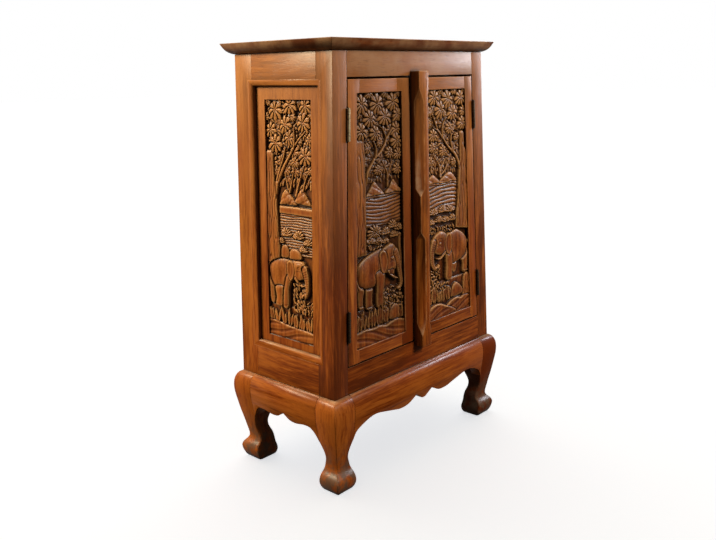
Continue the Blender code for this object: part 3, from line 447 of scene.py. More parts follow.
# Tones by board; several are painted light and shade: the front posts, the left door's meeting stile (the
# bar's shadow), the front right leg and the top board are darkened as painted shade, and the rear posts are
# lightened as painted light
TONES_WITH_PAINTED_LIGHT = (("top_board", -0.13), ("post_front_right", -0.04), ("post_front", -0.08), ("post_rear", 0.09),
         ("shelf", -0.03), ("floor", -0.03), ("back_panel", -0.03), ("side_rail", 0.05),
         ("front_rail_top", -0.15), ("front_rail_bottom", -0.03), ("left_door_meeting_stile", -0.14),
         ("meeting_bar", 0.03), ("apron_left", 0.15), ("apron", 0.08), ("leg_front_right", -0.14),
         ("leg", 0.09))
TONE_WANDER = 0.012
TONE_STEP = 2.3
RED_SHARES = (("apron_front", 0.12), ("leg", 0.05))
PAINTED_SHEEN_SHARES = (("top_board", 0.0),)
FADED_SHARES = (("top_board", 0.9), ("front_rail_top", 0.5))
DUST_AND_UNDERSIDE_SHADE = (("leg", DUST_AND_SHADE_ON_STAND), ("apron", DUST_AND_SHADE_ON_STAND), ("meeting_bar", DUST_AND_SHADE_ON_BAR))
WORN_SHARES = (("post_front", 0.12), ("leg", 0.3), ("apron", 0.3))
OTHER_WORN_SHARE = 0.5


def listed(name, table, otherwise=0.0):
    """What a table says of the first entry that a board's name starts with."""
    return next((value for start, value in table if name.startswith(start)), otherwise)


def grain_of(node):
    """The axis that the grain of a board runs along."""
    if node.startswith(GRAIN_ACROSS) or ("_door_" in node and node.endswith("_rail")):
        return "X"
    return "Y" if node.startswith(GRAIN_DEEP) else "Z"


def surface_tree(meshes):
    """One tree of the faces of several meshes, to find what lies close by."""
    vertices = []
    faces = []
    for mesh in meshes:
        start = len(vertices)
        vertices += [vertex.co.copy() for vertex in mesh.vertices]
        faces += [[start + index for index in polygon.vertices] for polygon in mesh.polygons]
    return BVHTree.FromPolygons(vertices, faces)


def round_edges(mesh, others):
    """Merge flat faces and mark outer edges for rounding: wide where free, narrow where boards meet."""
    shape = bmesh.new()
    shape.from_mesh(mesh)
    bmesh.ops.remove_doubles(shape, verts=shape.verts, dist=MERGE_DISTANCE)
    bmesh.ops.dissolve_limit(shape, angle_limit=FLAT_ANGLE, verts=shape.verts, edges=shape.edges)
    weight = shape.edges.layers.float.new("bevel_weight_edge")
    for edge in shape.edges:
        edge.smooth = True
        if len(edge.link_faces) != 2 or edge.calc_face_angle(0.0) < SHARP_ANGLE:
            continue
        if not edge.is_convex:
            edge.smooth = False
            continue
        middle = (edge.verts[0].co + edge.verts[1].co) / 2
        near = others.find_nearest(middle, JOINT_GAP)[0] is not None
        edge[weight] = JOINT_SHARE if near else 1.0
    for face in shape.faces:
        face.smooth = True
    shape.to_mesh(mesh)
    shape.free()


def add_bevel(piece, width):
    """Round the marked edges; the rounded strip takes the worn material."""
    bevel = piece.modifiers.new("rounded", "BEVEL")
    bevel.limit_method = "WEIGHT"
    bevel.width = width
    bevel.segments = 2
    bevel.use_clamp_overlap = True
    bevel.harden_normals = True
    bevel.material = 1


def recut_bar(mesh):
    """Widen the chamfer on the bar's left arris and narrow the one on its right arris."""
    flanks = (min(vertex.co.x for vertex in mesh.vertices), max(vertex.co.x for vertex in mesh.vertices))
    front = min(vertex.co.y for vertex in mesh.vertices)
    for vertex in mesh.vertices:
        flank, inward, chamfer = ((flanks[0], 1, BAR_LEFT_CHAMFER) if vertex.co.x < 0
                                  else (flanks[1], -1, BAR_RIGHT_CHAMFER))
        across = abs(vertex.co.x - flank)
        deep = vertex.co.y - front
        if deep < SAME_PLACE and abs(across - BAR_CUT_CHAMFER) < SAME_PLACE:
            vertex.co.x = flank + inward * chamfer
        elif across < SAME_PLACE and abs(deep - BAR_CUT_CHAMFER) < SAME_PLACE:
            vertex.co.y = front + chamfer


def build_wood():
    """A rounded, worn copy of every plain board, in place of the CAD solid."""
    nodes = frame["nodes"]
    boards = [name for name in sorted(nodes)
              if name not in CARVED and ("_hinge_" not in name or name.endswith("stile"))]
    for number, name in enumerate(boards):
        mesh = nodes[name].data.copy()
        if name == "meeting_bar":
            recut_bar(mesh)
        round_edges(mesh, surface_tree([nodes[other].data for other in sorted(nodes) if other != name]))
        mesh.materials.clear()
        look = {"tone": TONE_WANDER * math.sin(number * TONE_STEP) + listed(name, TONES_WITH_PAINTED_LIGHT),
                "red": listed(name, RED_SHARES),
                "painted_sheen": listed(name, PAINTED_SHEEN_SHARES, PAINTED_SHEEN_SHARE),
                "faded": listed(name, FADED_SHARES),
                "dust_and_shade": listed(name, DUST_AND_UNDERSIDE_SHADE, None)}
        wear = listed(name, WORN_SHARES, OTHER_WORN_SHARE)
        mesh.materials.append(wood(name + "_wood", grain_of(name), number, **look))
        mesh.materials.append(wood(name + "_worn_edge", grain_of(name), number, worn=wear, **look))
        piece = add_piece(name + "_board", mesh, body_of(name))
        add_bevel(piece, EDGE_ROUND)
        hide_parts(name)


# Carving, in millimetres

HASH_STEPS = (127.1, 311.7, 74.7)
HASH_FACTORS = (12.9898, 78.233, 37.719, 9.17)
HASH_SCALE = 43758.5453
BEND_STEPS = 5
LOOP_STEPS = 4
FAR = 1e9
LOWEST = -0.6

# A cluster of leaves: shares of its radius or of a leaf's length, and depths and reaches in millimetres
DROOP_SHARE = 0.34
SHORTEST_SHARE = 0.86
LEAF_WIDTH_SHARE = 0.91
RIM_SHARE = 0.8
CUT_OFF_SHARE = 0.10
RIM_CUT_OFF_SHARE = 0.14
FLUTE_DEPTH = 2.7
VEIN_DEPTH = 0.7
RIM_DEPTH = 1.6
RIM_REACH = 3.0
LOWEST_BY_CLUSTER = -0.8


def noise(x, z, seed):
    """Smooth noise between 0 and 1, the same on every run."""
    column = np.floor(x)
    row = np.floor(z)
    fx = x - column
    fz = z - row
    fx = fx * fx * (3 - 2 * fx)
    fz = fz * fz * (3 - 2 * fz)
    by_column, by_row, by_seed = HASH_STEPS

    def corner(dx, dz):
        value = np.sin((column + dx) * by_column + (row + dz) * by_row + seed * by_seed) * HASH_SCALE
        return value - np.floor(value)

    low = corner(0, 0) * (1 - fx) + corner(1, 0) * fx
    high = corner(0, 1) * (1 - fx) + corner(1, 1) * fx
    return low * (1 - fz) + high * fz


def chance(*seeds):
    """One number between 0 and 1 that belongs to these seeds."""
    value = math.sin(sum(seed * factor for seed, factor in zip(seeds, HASH_FACTORS))) * HASH_SCALE
    return value - math.floor(value)


def smooth(places, steps):
    """Points of a smooth line through places, from the second one up to the last but one."""
    return [tuple(0.5 * (2 * q + (r - p) * t + (2 * p - 5 * q + 4 * r - s) * t * t
                         + (3 * q - p - 3 * r + s) * t * t * t) for p, q, r, s in zip(a, b, c, d))
            for a, b, c, d in zip(places, places[1:], places[2:], places[3:])
            for t in (step / steps for step in range(steps))]


def bend(points):
    """A smooth line through points."""
    return smooth([points[0], *points, points[-1]], BEND_STEPS) + [tuple(points[-1])]


def loop(points):
    """A smooth closed outline through points."""
    return smooth([points[-1], *points, *points[:2]], LOOP_STEPS)


def outline_distance(x, z, outline):
    """Distance to a closed outline, negative inside."""
    nearest = np.full(x.shape, FAR)
    inside = np.zeros(x.shape, bool)
    for (ax, az), (bx, bz) in zip(outline, outline[1:] + outline[:1]):
        ex, ez = bx - ax, bz - az
        length = ex * ex + ez * ez
        if length < 1e-12:
            continue
        t = np.clip(((x - ax) * ex + (z - az) * ez) / length, 0, 1)
        nearest = np.minimum(nearest, (x - ax - t * ex) ** 2 + (z - az - t * ez) ** 2)
        if az != bz:
            crosses = ((az > z) != (bz > z)) & (x < (bx - ax) * (z - az) / (bz - az) + ax)
            inside ^= crosses
    return np.where(inside, -1.0, 1.0) * np.sqrt(nearest)


def stroke_distance(x, z, line):
    """Distance to a line of (x, z, radius) points, negative inside, and how far along it that is."""
    best = np.full(x.shape, FAR)
    along = np.zeros(x.shape)
    run = 0.0
    for (ax, az, ar), (bx, bz, br) in zip(line, line[1:]):
        ex, ez = bx - ax, bz - az
        length = math.hypot(ex, ez)
        if length < 1e-9:
            continue
        t = np.clip(((x - ax) * ex + (z - az) * ez) / length ** 2, 0, 1)
        here = np.hypot(x - ax - t * ex, z - az - t * ez) - (ar + (br - ar) * t)
        closer = here < best
        best = np.where(closer, here, best)
        along = np.where(closer, run + t * length, along)
        run += length
    return best, along


def blur(field, sigma):
    """Soften a field by a Gaussian of some cells."""
    reach = max(1, int(3 * sigma))
    weights = np.exp(-0.5 * (np.arange(-reach, reach + 1) / sigma) ** 2)
    weights /= weights.sum()
    for axis in (0, 1):
        padded = np.pad(field, [(reach, reach) if a == axis else (0, 0) for a in (0, 1)], mode="edge")
        size = field.shape[axis]
        field = sum(w * np.take(padded, np.arange(k, k + size), axis=axis) for k, w in enumerate(weights))
    return field


def span(mask):
    """The slice that holds all true values of a row, or an empty one."""
    places = np.flatnonzero(mask)
    return slice(places[0], places[-1] + 1) if len(places) else slice(0, 0)


def dome(depth):
    """A quarter circle that rises from 0 to 1 with the depth."""
    return np.sqrt(np.clip(1 - (1 - depth) ** 2, 0, 1))


class Carving:
    """Heights above the ground of a carved field, on a grid that fits between two edge lines.

    Every shape has a base and a crown, the height it starts from and what it adds at its highest. Outlines
    also have the width over which they round over. Last come the width and depth of the valley cut round.
    """

    def __init__(self, left, right, bottom, top, pitch):
        rows = round((top - bottom) / pitch) + 1
        z = np.linspace(bottom, top, rows)[:, None]
        low_x, high_x = left(z), right(z)
        columns = round(float((high_x - low_x).max()) / pitch) + 1
        share = np.linspace(0.0, 1.0, columns)[None, :]
        self.x = low_x + (high_x - low_x) * share
        self.z = np.broadcast_to(z, self.x.shape).copy()
        self.height = np.zeros(self.x.shape)

    def roughen(self, amount, seed):
        """Leave the ground slightly uneven."""
        self.height += amount * noise(self.x / 3.5, self.z / 3.5, seed)

    def near(self, x_low, x_high, z_low, z_high, slack=3.0):
        """The part of the grid that holds these places."""
        rows = span((self.z[:, 0] > z_low - slack) & (self.z[:, 0] < z_high + slack))
        across = (self.x[rows] > x_low - slack) & (self.x[rows] < x_high + slack)
        return rows, span(across.any(axis=0))

    def around(self, points):
        """The part of the grid that an outline, or a line of (x, z, radius) points, can touch."""
        xs, zs, *radii = zip(*points)
        reach = max(radii[0]) if radii else 0.0
        return self.near(min(xs) - reach, max(xs) + reach, min(zs) - reach, max(zs) + reach)

    def lay(self, window, distance, top, moat, cut):
        """Lay a shape over what is there, and cut a narrow valley round it."""
        valley = np.clip(1 - distance / moat, 0, 1) * (distance > 0)
        height = self.height[window] - cut * valley
        self.height[window] = np.where(distance <= 0, top, np.maximum(height, LOWEST))

    def shape(self, outline, base, crown, width, moat=1.6, cut=1.2, texture=None):
        """A raised shape whose surface rounds over within some width of its outline."""
        window = self.around(outline)
        x, z = self.x[window], self.z[window]
        distance = outline_distance(x, z, outline)
        top = base + crown * dome(np.clip(-distance / width, 0, 1))
        if texture is not None:
            top = top + texture(x, z, -distance)
        self.lay(window, distance, top, moat, cut)

    def form(self, points, *sizes, texture=None):
        """A raised shape with a smooth closed outline."""
        self.shape(loop(points), *sizes, texture=texture)

    def stroke(self, points, base, crown, moat=1.4, cut=1.2, texture=None):
        """A raised line, such as a branch, through (x, z, radius) points."""
        line = bend(points)
        window = self.around(line)
        x, z = self.x[window], self.z[window]
        distance, along = stroke_distance(x, z, line)
        top = base + crown * dome(np.clip(-distance / max(radius for _, _, radius in line), 0, 1))
        if texture is not None:
            top = top + texture(x, z, -distance, along)
        self.lay(window, distance, top, moat, cut)

    def groove(self, points, depth):
        """A shallow line cut into what is there."""
        line = bend(points)
        window = self.around(line)
        distance = stroke_distance(self.x[window], self.z[window], line)[0]
        self.height[window] -= depth * np.clip(-distance / max(radius for _, _, radius in line), 0, 1)

    def star(self, cx, cz, radius, turn, petals, base, crown, squash=1.0, upper_only=False, widest=0.70):
        """A drooping cluster of long leaves: a fluted dome with a ragged rim."""
        window = self.near(cx - radius, cx + radius, cz - radius * 1.35, cz + radius)
        x = self.x[window] - cx
        z = (self.z[window] - cz) / squash
        if not upper_only:
            z = z + DROOP_SHARE * x * x / radius
        reach = np.hypot(x, z)
        angle = np.arctan2(z, x) - math.radians(turn)
        sector = 2 * math.pi / petals
        number = np.round(angle / sector)
        local = angle - number * sector
        vary = np.sin(number * 5.1 + cx * 0.7 + cz) * 0.5 + 0.5
        length = radius * (SHORTEST_SHARE + (1 - SHORTEST_SHARE) * vary)
        t = reach * np.cos(local) / length
        across = np.abs(reach * np.sin(local))
        full = np.minimum(t, widest) * length * math.tan(sector / 2)
        taper = np.sqrt(np.clip(1 - (np.clip(t - widest, 0, 1) / (1 - widest)) ** 2, 0, 1))
        half = np.maximum(LEAF_WIDTH_SHARE * full * taper, 0.05)
        distance = np.where(t >= 1, 1.0, across - half)
        ridge = np.sqrt(np.clip(1 - (across / half) ** 2, 0, 1))
        flute = np.clip(t / 0.35, 0, 1)
        vein = np.exp(-(across / 0.5) ** 2) * np.clip((t - 0.25) / 0.2, 0, 1)
        top = base + crown * np.clip(1 - t * t, 0, 1) + FLUTE_DEPTH * flute * (ridge - 0.35)
        rim = np.clip(1 - (reach - radius * RIM_SHARE) / RIM_REACH, 0, 1) * (distance > 0)
        if upper_only:
            distance = np.where(z < -radius * CUT_OFF_SHARE, 1.0, distance)
            rim = rim * (z > -radius * RIM_CUT_OFF_SHARE)
        around = np.maximum(self.height[window] - RIM_DEPTH * rim, LOWEST_BY_CLUSTER)
        self.height[window] = np.where(distance <= 0, top - VEIN_DEPTH * vein, around)

    def leaf(self, cx, cz, length, width, turn, base, crown):
        """One pointed leaf with a groove down its middle."""
        reach = length / 2
        window = self.near(cx - reach, cx + reach, cz - reach, cz + reach, 1.5)
        x = self.x[window] - cx
        z = self.z[window] - cz
        c, s = math.cos(math.radians(turn)), math.sin(math.radians(turn))
        along = (x * c + z * s) / reach
        across = np.abs(-x * s + z * c)
        half = width / 2 * np.clip(1 - along ** 2, 0, 1) ** 0.75
        distance = np.where(np.abs(along) >= 1, 1.0, across - half)
        ridge = np.sqrt(np.clip(1 - (across / np.maximum(half, 0.2)) ** 2, 0, 1))
        top = base + crown * ridge - 0.5 * np.exp(-(across / 0.4) ** 2)
        self.lay(window, distance, top, 1.0, 0.8)

    def ripples(self, low, high, base, amount, pitch, wave):
        """Water: a band of long waved lines that run across, between two corners."""
        outline = [low, (high[0], low[1]), high, (low[0], high[1])]
        window = self.around(outline)
        x, z = self.x[window], self.z[window]
        line = np.abs(np.sin(np.pi * ((z + wave(x, z)) / pitch)))
        inside = outline_distance(x, z, outline) <= 0
        self.height[window] = np.where(inside, base + amount * line ** 0.7, self.height[window])


def waves(bow, swing, run):
    """How far the water's lines stray from level."""
    return lambda x, z: bow * np.sin((x + swing) / run) + 0.8 * np.sin(x / 9.0 + z / 5.0)


def bark(seed, grain, length, depth):
    """Grooves that run up a trunk."""
    def texture(x, z, *inside):
        sway = 1.2 * np.sin(z / 17.0 + seed)
        lines = noise((x + sway) / grain, z / length, seed)
        fine = noise((x + sway) / (grain * 0.45), z / (length * 0.5), seed + 3)
        return -depth * np.clip(1 - np.abs(lines - 0.5) * 6.5, 0, 1) - 0.35 * fine
    return texture


def hide(seed, *swellings):
    """An elephant's skin: soft folds, fine wrinkles, and swellings given as (x, z, radius, height)."""
    def texture(x, z, inside):
        folds = noise(x / 9.0, z / 14.0, seed) * 0.6
        fine = noise(x / 2.6, z / 3.4, seed + 5) * 0.22
        total = folds + fine - 0.4
        for cx, cz, radius, height in swellings:
            total = total + height * np.exp(-((x - cx) ** 2 + (z - cz) ** 2) / radius ** 2)
        return total
    return texture


def uneven(amount, across, up, seed):
    """Soft unevenness of earth or stone."""
    return lambda x, z, inside: amount * noise(x / across, z / up, seed)


def strata(depth, slope, sway, run, pitch, margin):
    """Slanting cuts across a rock, away from its outline."""
    def texture(x, z, inside):
        cuts = np.clip(np.sin((z + slope * x + sway * np.sin(x / run)) / pitch), 0, 1)
        return -depth * cuts * np.clip((inside - margin) / margin, 0, 1)
    return texture


def dish(depth):
    """The hollow of an ear."""
    return lambda x, z, inside: -depth * np.clip((inside - 3) / 5, 0, 1)


def rings(x, z, inside, along):
    """Creases across an elephant's trunk."""
    return -0.5 * np.clip(np.cos(along * 1.35), 0, 1)


def hill(field, points, base, seed):
    """A rounded hill with a few slanting marks."""
    field.shape(bend(points), base, 4.4, 13, 1.8, 1.4,
                texture=lambda x, z, inside: 0.7 * noise(x / 4, z / 7, seed)
                - 0.7 * np.clip(np.sin((z + 0.5 * x) / 2.6 + 2 * noise(x / 9, z / 9, seed)), 0, 1))


def grass(field, x_low, x_high, count, foot, tip, base, seed, width=6.5):
    """A row of blades that lean and have uneven tips."""
    for index in range(count):
        x = x_low + (x_high - x_low) * ((index + 0.5) / count) + 5 * (chance(seed, index) - 0.5)
        top = foot + (tip - foot) * (0.55 + 0.45 * chance(seed, index, 1))
        lean = 30 * (chance(seed, index, 2) - 0.5)
        broad = width * (0.85 + 0.75 * chance(seed, index, 4))
        level = base + 1.6 * chance(seed, index, 3)
        field.leaf(x, (foot + top) / 2, top - foot + 3, broad, 90 + lean, level, 1.7)


def foliage(field, x_low, x_high, z_low, z_high, spacing, size, base, seed, spread, heading=90.0):
    """Many small leaves that fill a patch, each turned its own way."""
    rows = max(1, round((z_high - z_low) / spacing))
    columns = max(1, round((x_high - x_low) / spacing))
    for number in range(rows * columns):
        row, column = divmod(number, columns)
        x = x_low + (column + 0.5 + 0.7 * (chance(seed, number) - 0.5)) * (x_high - x_low) / columns
        z = z_low + (row + 0.5 + 0.7 * (chance(seed, number, 1) - 0.5)) * (z_high - z_low) / rows
        turn = heading + spread * (chance(seed, number, 2) - 0.5)
        length = size * (0.8 + 0.4 * chance(seed, number, 3))
        field.leaf(x, z, length, size * 0.42, turn, base + 1.5 * chance(seed, number, 4), 1.2)


def stars(field, places, base, seed, petals=9, crown=2.4, squash=1.0):
    """Large clusters of leaves at (x, z, radius)."""
    for number, (x, z, radius) in enumerate(places):
        turn = 90 + 24 * (chance(seed, number) - 0.5)
        field.star(x, z, radius, turn, petals, base + 1.6 * chance(seed, number, 1), crown, squash)


def canopy(field, x_low, x_high, z_low, z_high, radius, base, seed):
    """Rows of smaller clusters that fill the ground behind the large ones."""
    rows = max(1, round((z_high - z_low) / (1.25 * radius)))
    columns = max(1, round((x_high - x_low) / (1.55 * radius)))
    for row in range(rows, -1, -1):
        for column in range(columns + 1):
            number = row * 20 + column
            across = column + 0.5 * (row % 2) + 0.4 * (chance(seed, number) - 0.5)
            x = x_low + across * (x_high - x_low) / columns
            z = z_low + (row + 0.4 * (chance(seed, number, 1) - 0.5)) * (z_high - z_low) / rows
            size = radius * (0.85 + 0.3 * chance(seed, number, 2))
            turn = 90 + 30 * (chance(seed, number, 3) - 0.5)
            field.star(x, z, size, turn, 8, base + 1.2 * chance(seed, number, 4), 1.8)


def bushes(field, places, base, seed):
    """Round bushes whose leaves fan upwards."""
    for number, (x, z, radius) in enumerate(places):
        field.star(x, z, radius, 90, 14, base + 1.2 * chance(seed, number), 3.8, 0.9, True, 0.88)


def branches(field, *limbs):
    """Branches, each its base, its crown and then its (x, z, radius) points."""
    for base, crown, *points in limbs:
        field.stroke(points, base, crown)


def wrinkles(field, heights, across, lift, depth):
    """Short curved grooves over and under an eye."""
    for height in heights:
        middle = (across[1], height + lift, 0.9)
        field.groove([(across[0], height, 0.9), middle, (across[2], height, 0.9)], depth)


def toes(field, feet, base, crown):
    """Four toenails on each foot, given as its height and its two ends."""
    for foot, x_low, x_high in feet:
        for step in range(4):
            x = x_low + (x_high - x_low) * (step + 0.5) / 4
            nail = [(x - 1.8, foot), (x, foot + 2.6), (x + 1.8, foot), (x, foot - 2)]
            field.form(nail, base, crown, 1.6, 0.6, 0.5)


def elephant_left(field):
    """An elephant that walks to the right, in profile."""
    skin = hide(11)
    field.form([(-157, 398), (-158, 378), (-156, 358), (-139, 356), (-138, 380), (-136, 400), (-148, 408)],
               3.6, 3.4, 8, 2.6, 2.0, texture=skin)
    field.form([(-181, 436), (-181, 402), (-180, 366), (-168, 363), (-165, 384), (-161, 404), (-168, 430)],
               4.0, 4.4, 9, 2.6, 2.0, texture=skin)
    field.form([(-180, 436), (-177, 450), (-168, 459), (-152, 467), (-130, 473), (-108, 477), (-96, 472),
                (-93, 452), (-95, 430), (-100, 414), (-110, 405), (-128, 402), (-147, 400), (-163, 404),
                (-176, 412)], 2.6, 6.0, 20, 2.6, 2.4,
               texture=hide(12, (-163, 438, 15, 1.5), (-133, 430, 13, -1.2), (-116, 440, 13, 1.2)))
    field.form([(-127, 428), (-126, 400), (-127, 358), (-107, 356), (-105, 385), (-100, 410), (-103, 434)],
               5.2, 4.2, 10, 2.2, 1.8, texture=skin)
    field.form([(-108, 470), (-98, 478), (-84, 483), (-74, 482), (-65, 474), (-59, 460), (-58, 446),
                (-62, 432), (-70, 424), (-84, 421), (-98, 424), (-108, 440)], 4.6, 5.0, 15, 2.2, 1.8,
               texture=hide(13, (-84, 470, 10, 0.9), (-80, 444, 10, -0.8)))
    trunk = [(-66, 462, 9.5), (-60, 446, 8.5), (-56, 428, 7.2), (-52, 410, 6.0), (-50, 396, 5.0),
             (-54, 386, 4.2), (-61, 385, 3.4)]
    field.stroke(trunk, 6.2, 3.4, texture=rings)
    field.stroke([(-90, 426, 3.6), (-80, 416, 3.2), (-70, 409, 2.6), (-62, 407, 1.4)], 7.6, 2.2)
    field.form([(-86, 428), (-76, 430), (-70, 424), (-74, 417), (-84, 419)], 6.0, 1.6, 4)
    field.form([(-117, 466), (-106, 473), (-96, 466), (-92, 450), (-95, 434), (-104, 424), (-112, 430),
                (-116, 446)], 8.2, 1.6, 3.2, 1.8, 1.8, texture=dish(1.1))
    field.form([(-83, 452), (-78, 455), (-73, 452), (-78, 449)], 9.4, 0.9, 2.5, 1.2, 0.8)
    wrinkles(field, (461, 444), (-86, -78, -70), 3, 0.9)
    field.stroke([(-179, 452, 1.6), (-184, 436, 1.4), (-184, 416, 1.2), (-181, 402, 2.0)], 5.6, 2.0)
    toes(field, ((360, -125, -109), (360, -156, -141), (367, -179, -168)), 8.4, 0.9)


def left_door(field):
    """Tall tree at the left, a slim one at the right, and an elephant over a rocky ledge."""
    left = -200
    right = -40
    field.roughen(0.5, 2)
    # far hills, water and bank
    foliage(field, -150, -44, 612, 668, 9, 13, 1.2, 21, 120, 70)
    canopy(field, -180, -46, 640, 782, 15, 0.6, 25)
    hill(field, [(-152, 578), (-150, 586), (-143, 592), (-134, 602), (-126, 612), (-119, 613), (-110, 604),
                 (-100, 595), (-93, 588), (-90, 578)], 2.2, 14)
    hill(field, [(-97, 576), (-90, 590), (-80, 597), (-72, 608), (-65, 613), (-58, 606), (-50, 597),
                 (-42, 591), (-36, 578)], 2.4, 15)
    field.ripples((left, 524), (right, 586), 1.7, 1.5, 7.4, waves(6, 150, 32))
    field.stroke([(-152, 582, 2), (-120, 584, 2.6), (-92, 582, 2), (-66, 585, 2.8), (-40, 583, 2)],
                 2.2, 2.0)
    # bushes
    stars(field, [(-124, 512, 25)], 2.0, 31, 13, 3.5, 0.72)
    bushes(field, [(-70, 516, 17), (-92, 505, 16), (-52, 508, 15), (-66, 496, 15), (-172, 492, 14),
                   (-152, 493, 13), (-133, 492, 14), (-112, 490, 13), (-92, 486, 12)], 2.6, 33)
    foliage(field, -184, -92, 474, 492, 8, 10, 3.2, 41, 150)
    # small tree between the hills
    branches(field,
             (3.4, 2.2, (-83, 600, 2.4), (-82, 618, 2.0), (-84, 630, 1.8), (-91, 642, 1.5),
              (-100, 656, 1.1)),
             (3.2, 1.8, (-82, 616, 1.8), (-76, 632, 1.6), (-70, 645, 1.2), (-66, 658, 1.0)))
    # tall tree
    stars(field, [(-134, 785, 13), (-88, 787, 13), (-48, 786, 12), (-155, 765, 21), (-66, 767, 22),
                  (-111, 764, 23), (-52, 741, 16), (-132, 737, 20), (-89, 739, 21), (-56, 713, 17),
                  (-118, 708, 18), (-78, 668, 14), (-56, 690, 19), (-142, 681, 13), (-52, 664, 15),
                  (-104, 690, 11), (-112, 636, 13), (-56, 634, 14)], 3.6, 51)
    trunk = [(left, 470), (-151, 470), (-152, 505), (-150, 530), (-149, 560), (-148, 600), (-149, 640),
             (-149, 680), (-151, 699), (left, 702)]
    branches(field,
             (5.4, 3.0, (-154, 600, 5.5), (-147, 618, 4.2), (-142, 634, 3.4), (-132, 646, 3.0),
              (-119, 660, 2.8), (-104, 670, 2.6), (-93, 682, 2.4), (-86, 695, 2.2), (-90, 706, 1.8),
              (-95, 715, 1.5), (-101, 719, 1.2)),
             (5.8, 2.6, (-119, 660, 2.6), (-116, 672, 2.2), (-118, 683, 1.9), (-124, 693, 1.5)),
             (5.6, 2.2, (-86, 695, 2.0), (-78, 703, 1.7), (-70, 712, 1.3)))
    field.shape(trunk, 5.4, 3.6, 9, 2.4, 2.2, texture=bark(61, 4.0, 46.0, 1.2))
    stars(field, [(-161, 714, 20)], 5.6, 53)
    # slim tree on the right
    field.stroke([(-47, 496, 5.0), (-48, 470, 4.6), (-45, 440, 4.2), (-44, 412, 3.8), (-46, 392, 3.4)],
                 2.6, 2.2, texture=bark(63, 2.4, 18, 0.7))
    # ground behind the feet
    field.shape([(left, 300), (right, 300), (right, 352), (-70, 356), (-100, 358), (-130, 362), (-160, 364),
                 (left, 368)], 1.2, 1.0, 4, texture=uneven(0.5, 4, 6, 8))
    foliage(field, -104, -44, 352, 392, 7.5, 9, 2.6, 71, 170)
    elephant_left(field)
    grass(field, -192, -104, 14, 318, 362, 4.2, 81)
    grass(field, -104, -84, 4, 318, 350, 3.4, 82)
    foliage(field, -104, -44, 340, 372, 8, 9, 4.4, 72, 170)
    field.form([(-87, 322), (-88, 336), (-80, 349), (-68, 353), (-57, 346), (-53, 332), (-56, 320)],
               4.2, 3.8, 12, texture=uneven(0.4, 5, 7, 4))
    grass(field, -55, -42, 3, 318, 350, 3.6, 83)
    # ledge
    ledge = bend([(left, 316), (-178, 318), (-160, 319), (-140, 317), (-118, 318), (-100, 314), (-84, 318),
                  (-66, 320), (-52, 317), (right, 314)])
    field.shape(ledge + [(right, 270), (left, 270)], 5.0, 3.2, 4, texture=strata(1.1, 0.35, 3, 19, 3.1, 3))


def elephant_right(field):
    """An elephant that walks to the left, its trunk curled up to its mouth."""
    skin = hide(17)
    field.form([(128, 404), (130, 388), (134, 378), (144, 380), (148, 394), (146, 408)],
               2.4, 2.6, 6, 2.4, 1.8, texture=skin)
    field.form([(187, 440), (186, 404), (184, 374), (168, 372), (167, 392), (160, 412), (170, 436)],
               4.0, 4.2, 9, 2.6, 2.0, texture=skin)
    field.form([(186, 438), (182, 452), (173, 463), (160, 471), (145, 477), (130, 474), (112, 470),
                (102, 462), (100, 440), (104, 418), (114, 406), (132, 400), (150, 402), (166, 406),
                (180, 416)], 2.6, 6.0, 20, 2.6, 2.4,
               texture=hide(18, (168, 440, 15, 1.5), (140, 432, 13, -1.2), (118, 444, 13, 1.2)))
    field.form([(104, 432), (105, 400), (104, 368), (124, 366), (128, 385), (130, 408), (124, 430)],
               5.2, 4.2, 10, 2.2, 1.8, texture=skin)
    field.form([(112, 466), (102, 476), (88, 481), (74, 478), (62, 470), (55, 458), (56, 444), (66, 434),
                (80, 428), (96, 426), (110, 432), (116, 450)], 4.6, 5.0, 15, 2.2, 1.8,
               texture=hide(19, (88, 470, 10, 0.9), (84, 446, 10, -0.8)))
    field.stroke([(62, 458, 9.0), (56, 444, 8.4), (54, 428, 7.4), (56, 412, 6.4), (63, 401, 5.4),
                  (72, 399, 4.6), (78, 404, 3.8)], 6.2, 3.2, texture=rings)
    field.stroke([(100, 432, 3.6), (90, 424, 3.2), (80, 420, 2.6), (71, 421, 1.4)], 7.6, 2.2)
    field.form([(122, 468), (112, 474), (102, 466), (98, 450), (102, 434), (112, 424), (121, 432),
                (124, 450)], 8.2, 1.6, 3.2, 1.8, 1.8, texture=dish(1.1))
    field.form([(86, 454), (81, 457), (76, 454), (81, 451)], 9.4, 0.9, 2.5, 1.2, 0.8)
    wrinkles(field, (463, 446), (88, 80, 72), 3, 0.9)
    field.stroke([(184, 446, 1.6), (188, 430, 1.4), (187, 412, 1.2)], 5.6, 2.0)
    toes(field, ((370, 106, 122), (376, 169, 183)), 8.2, 0.9)


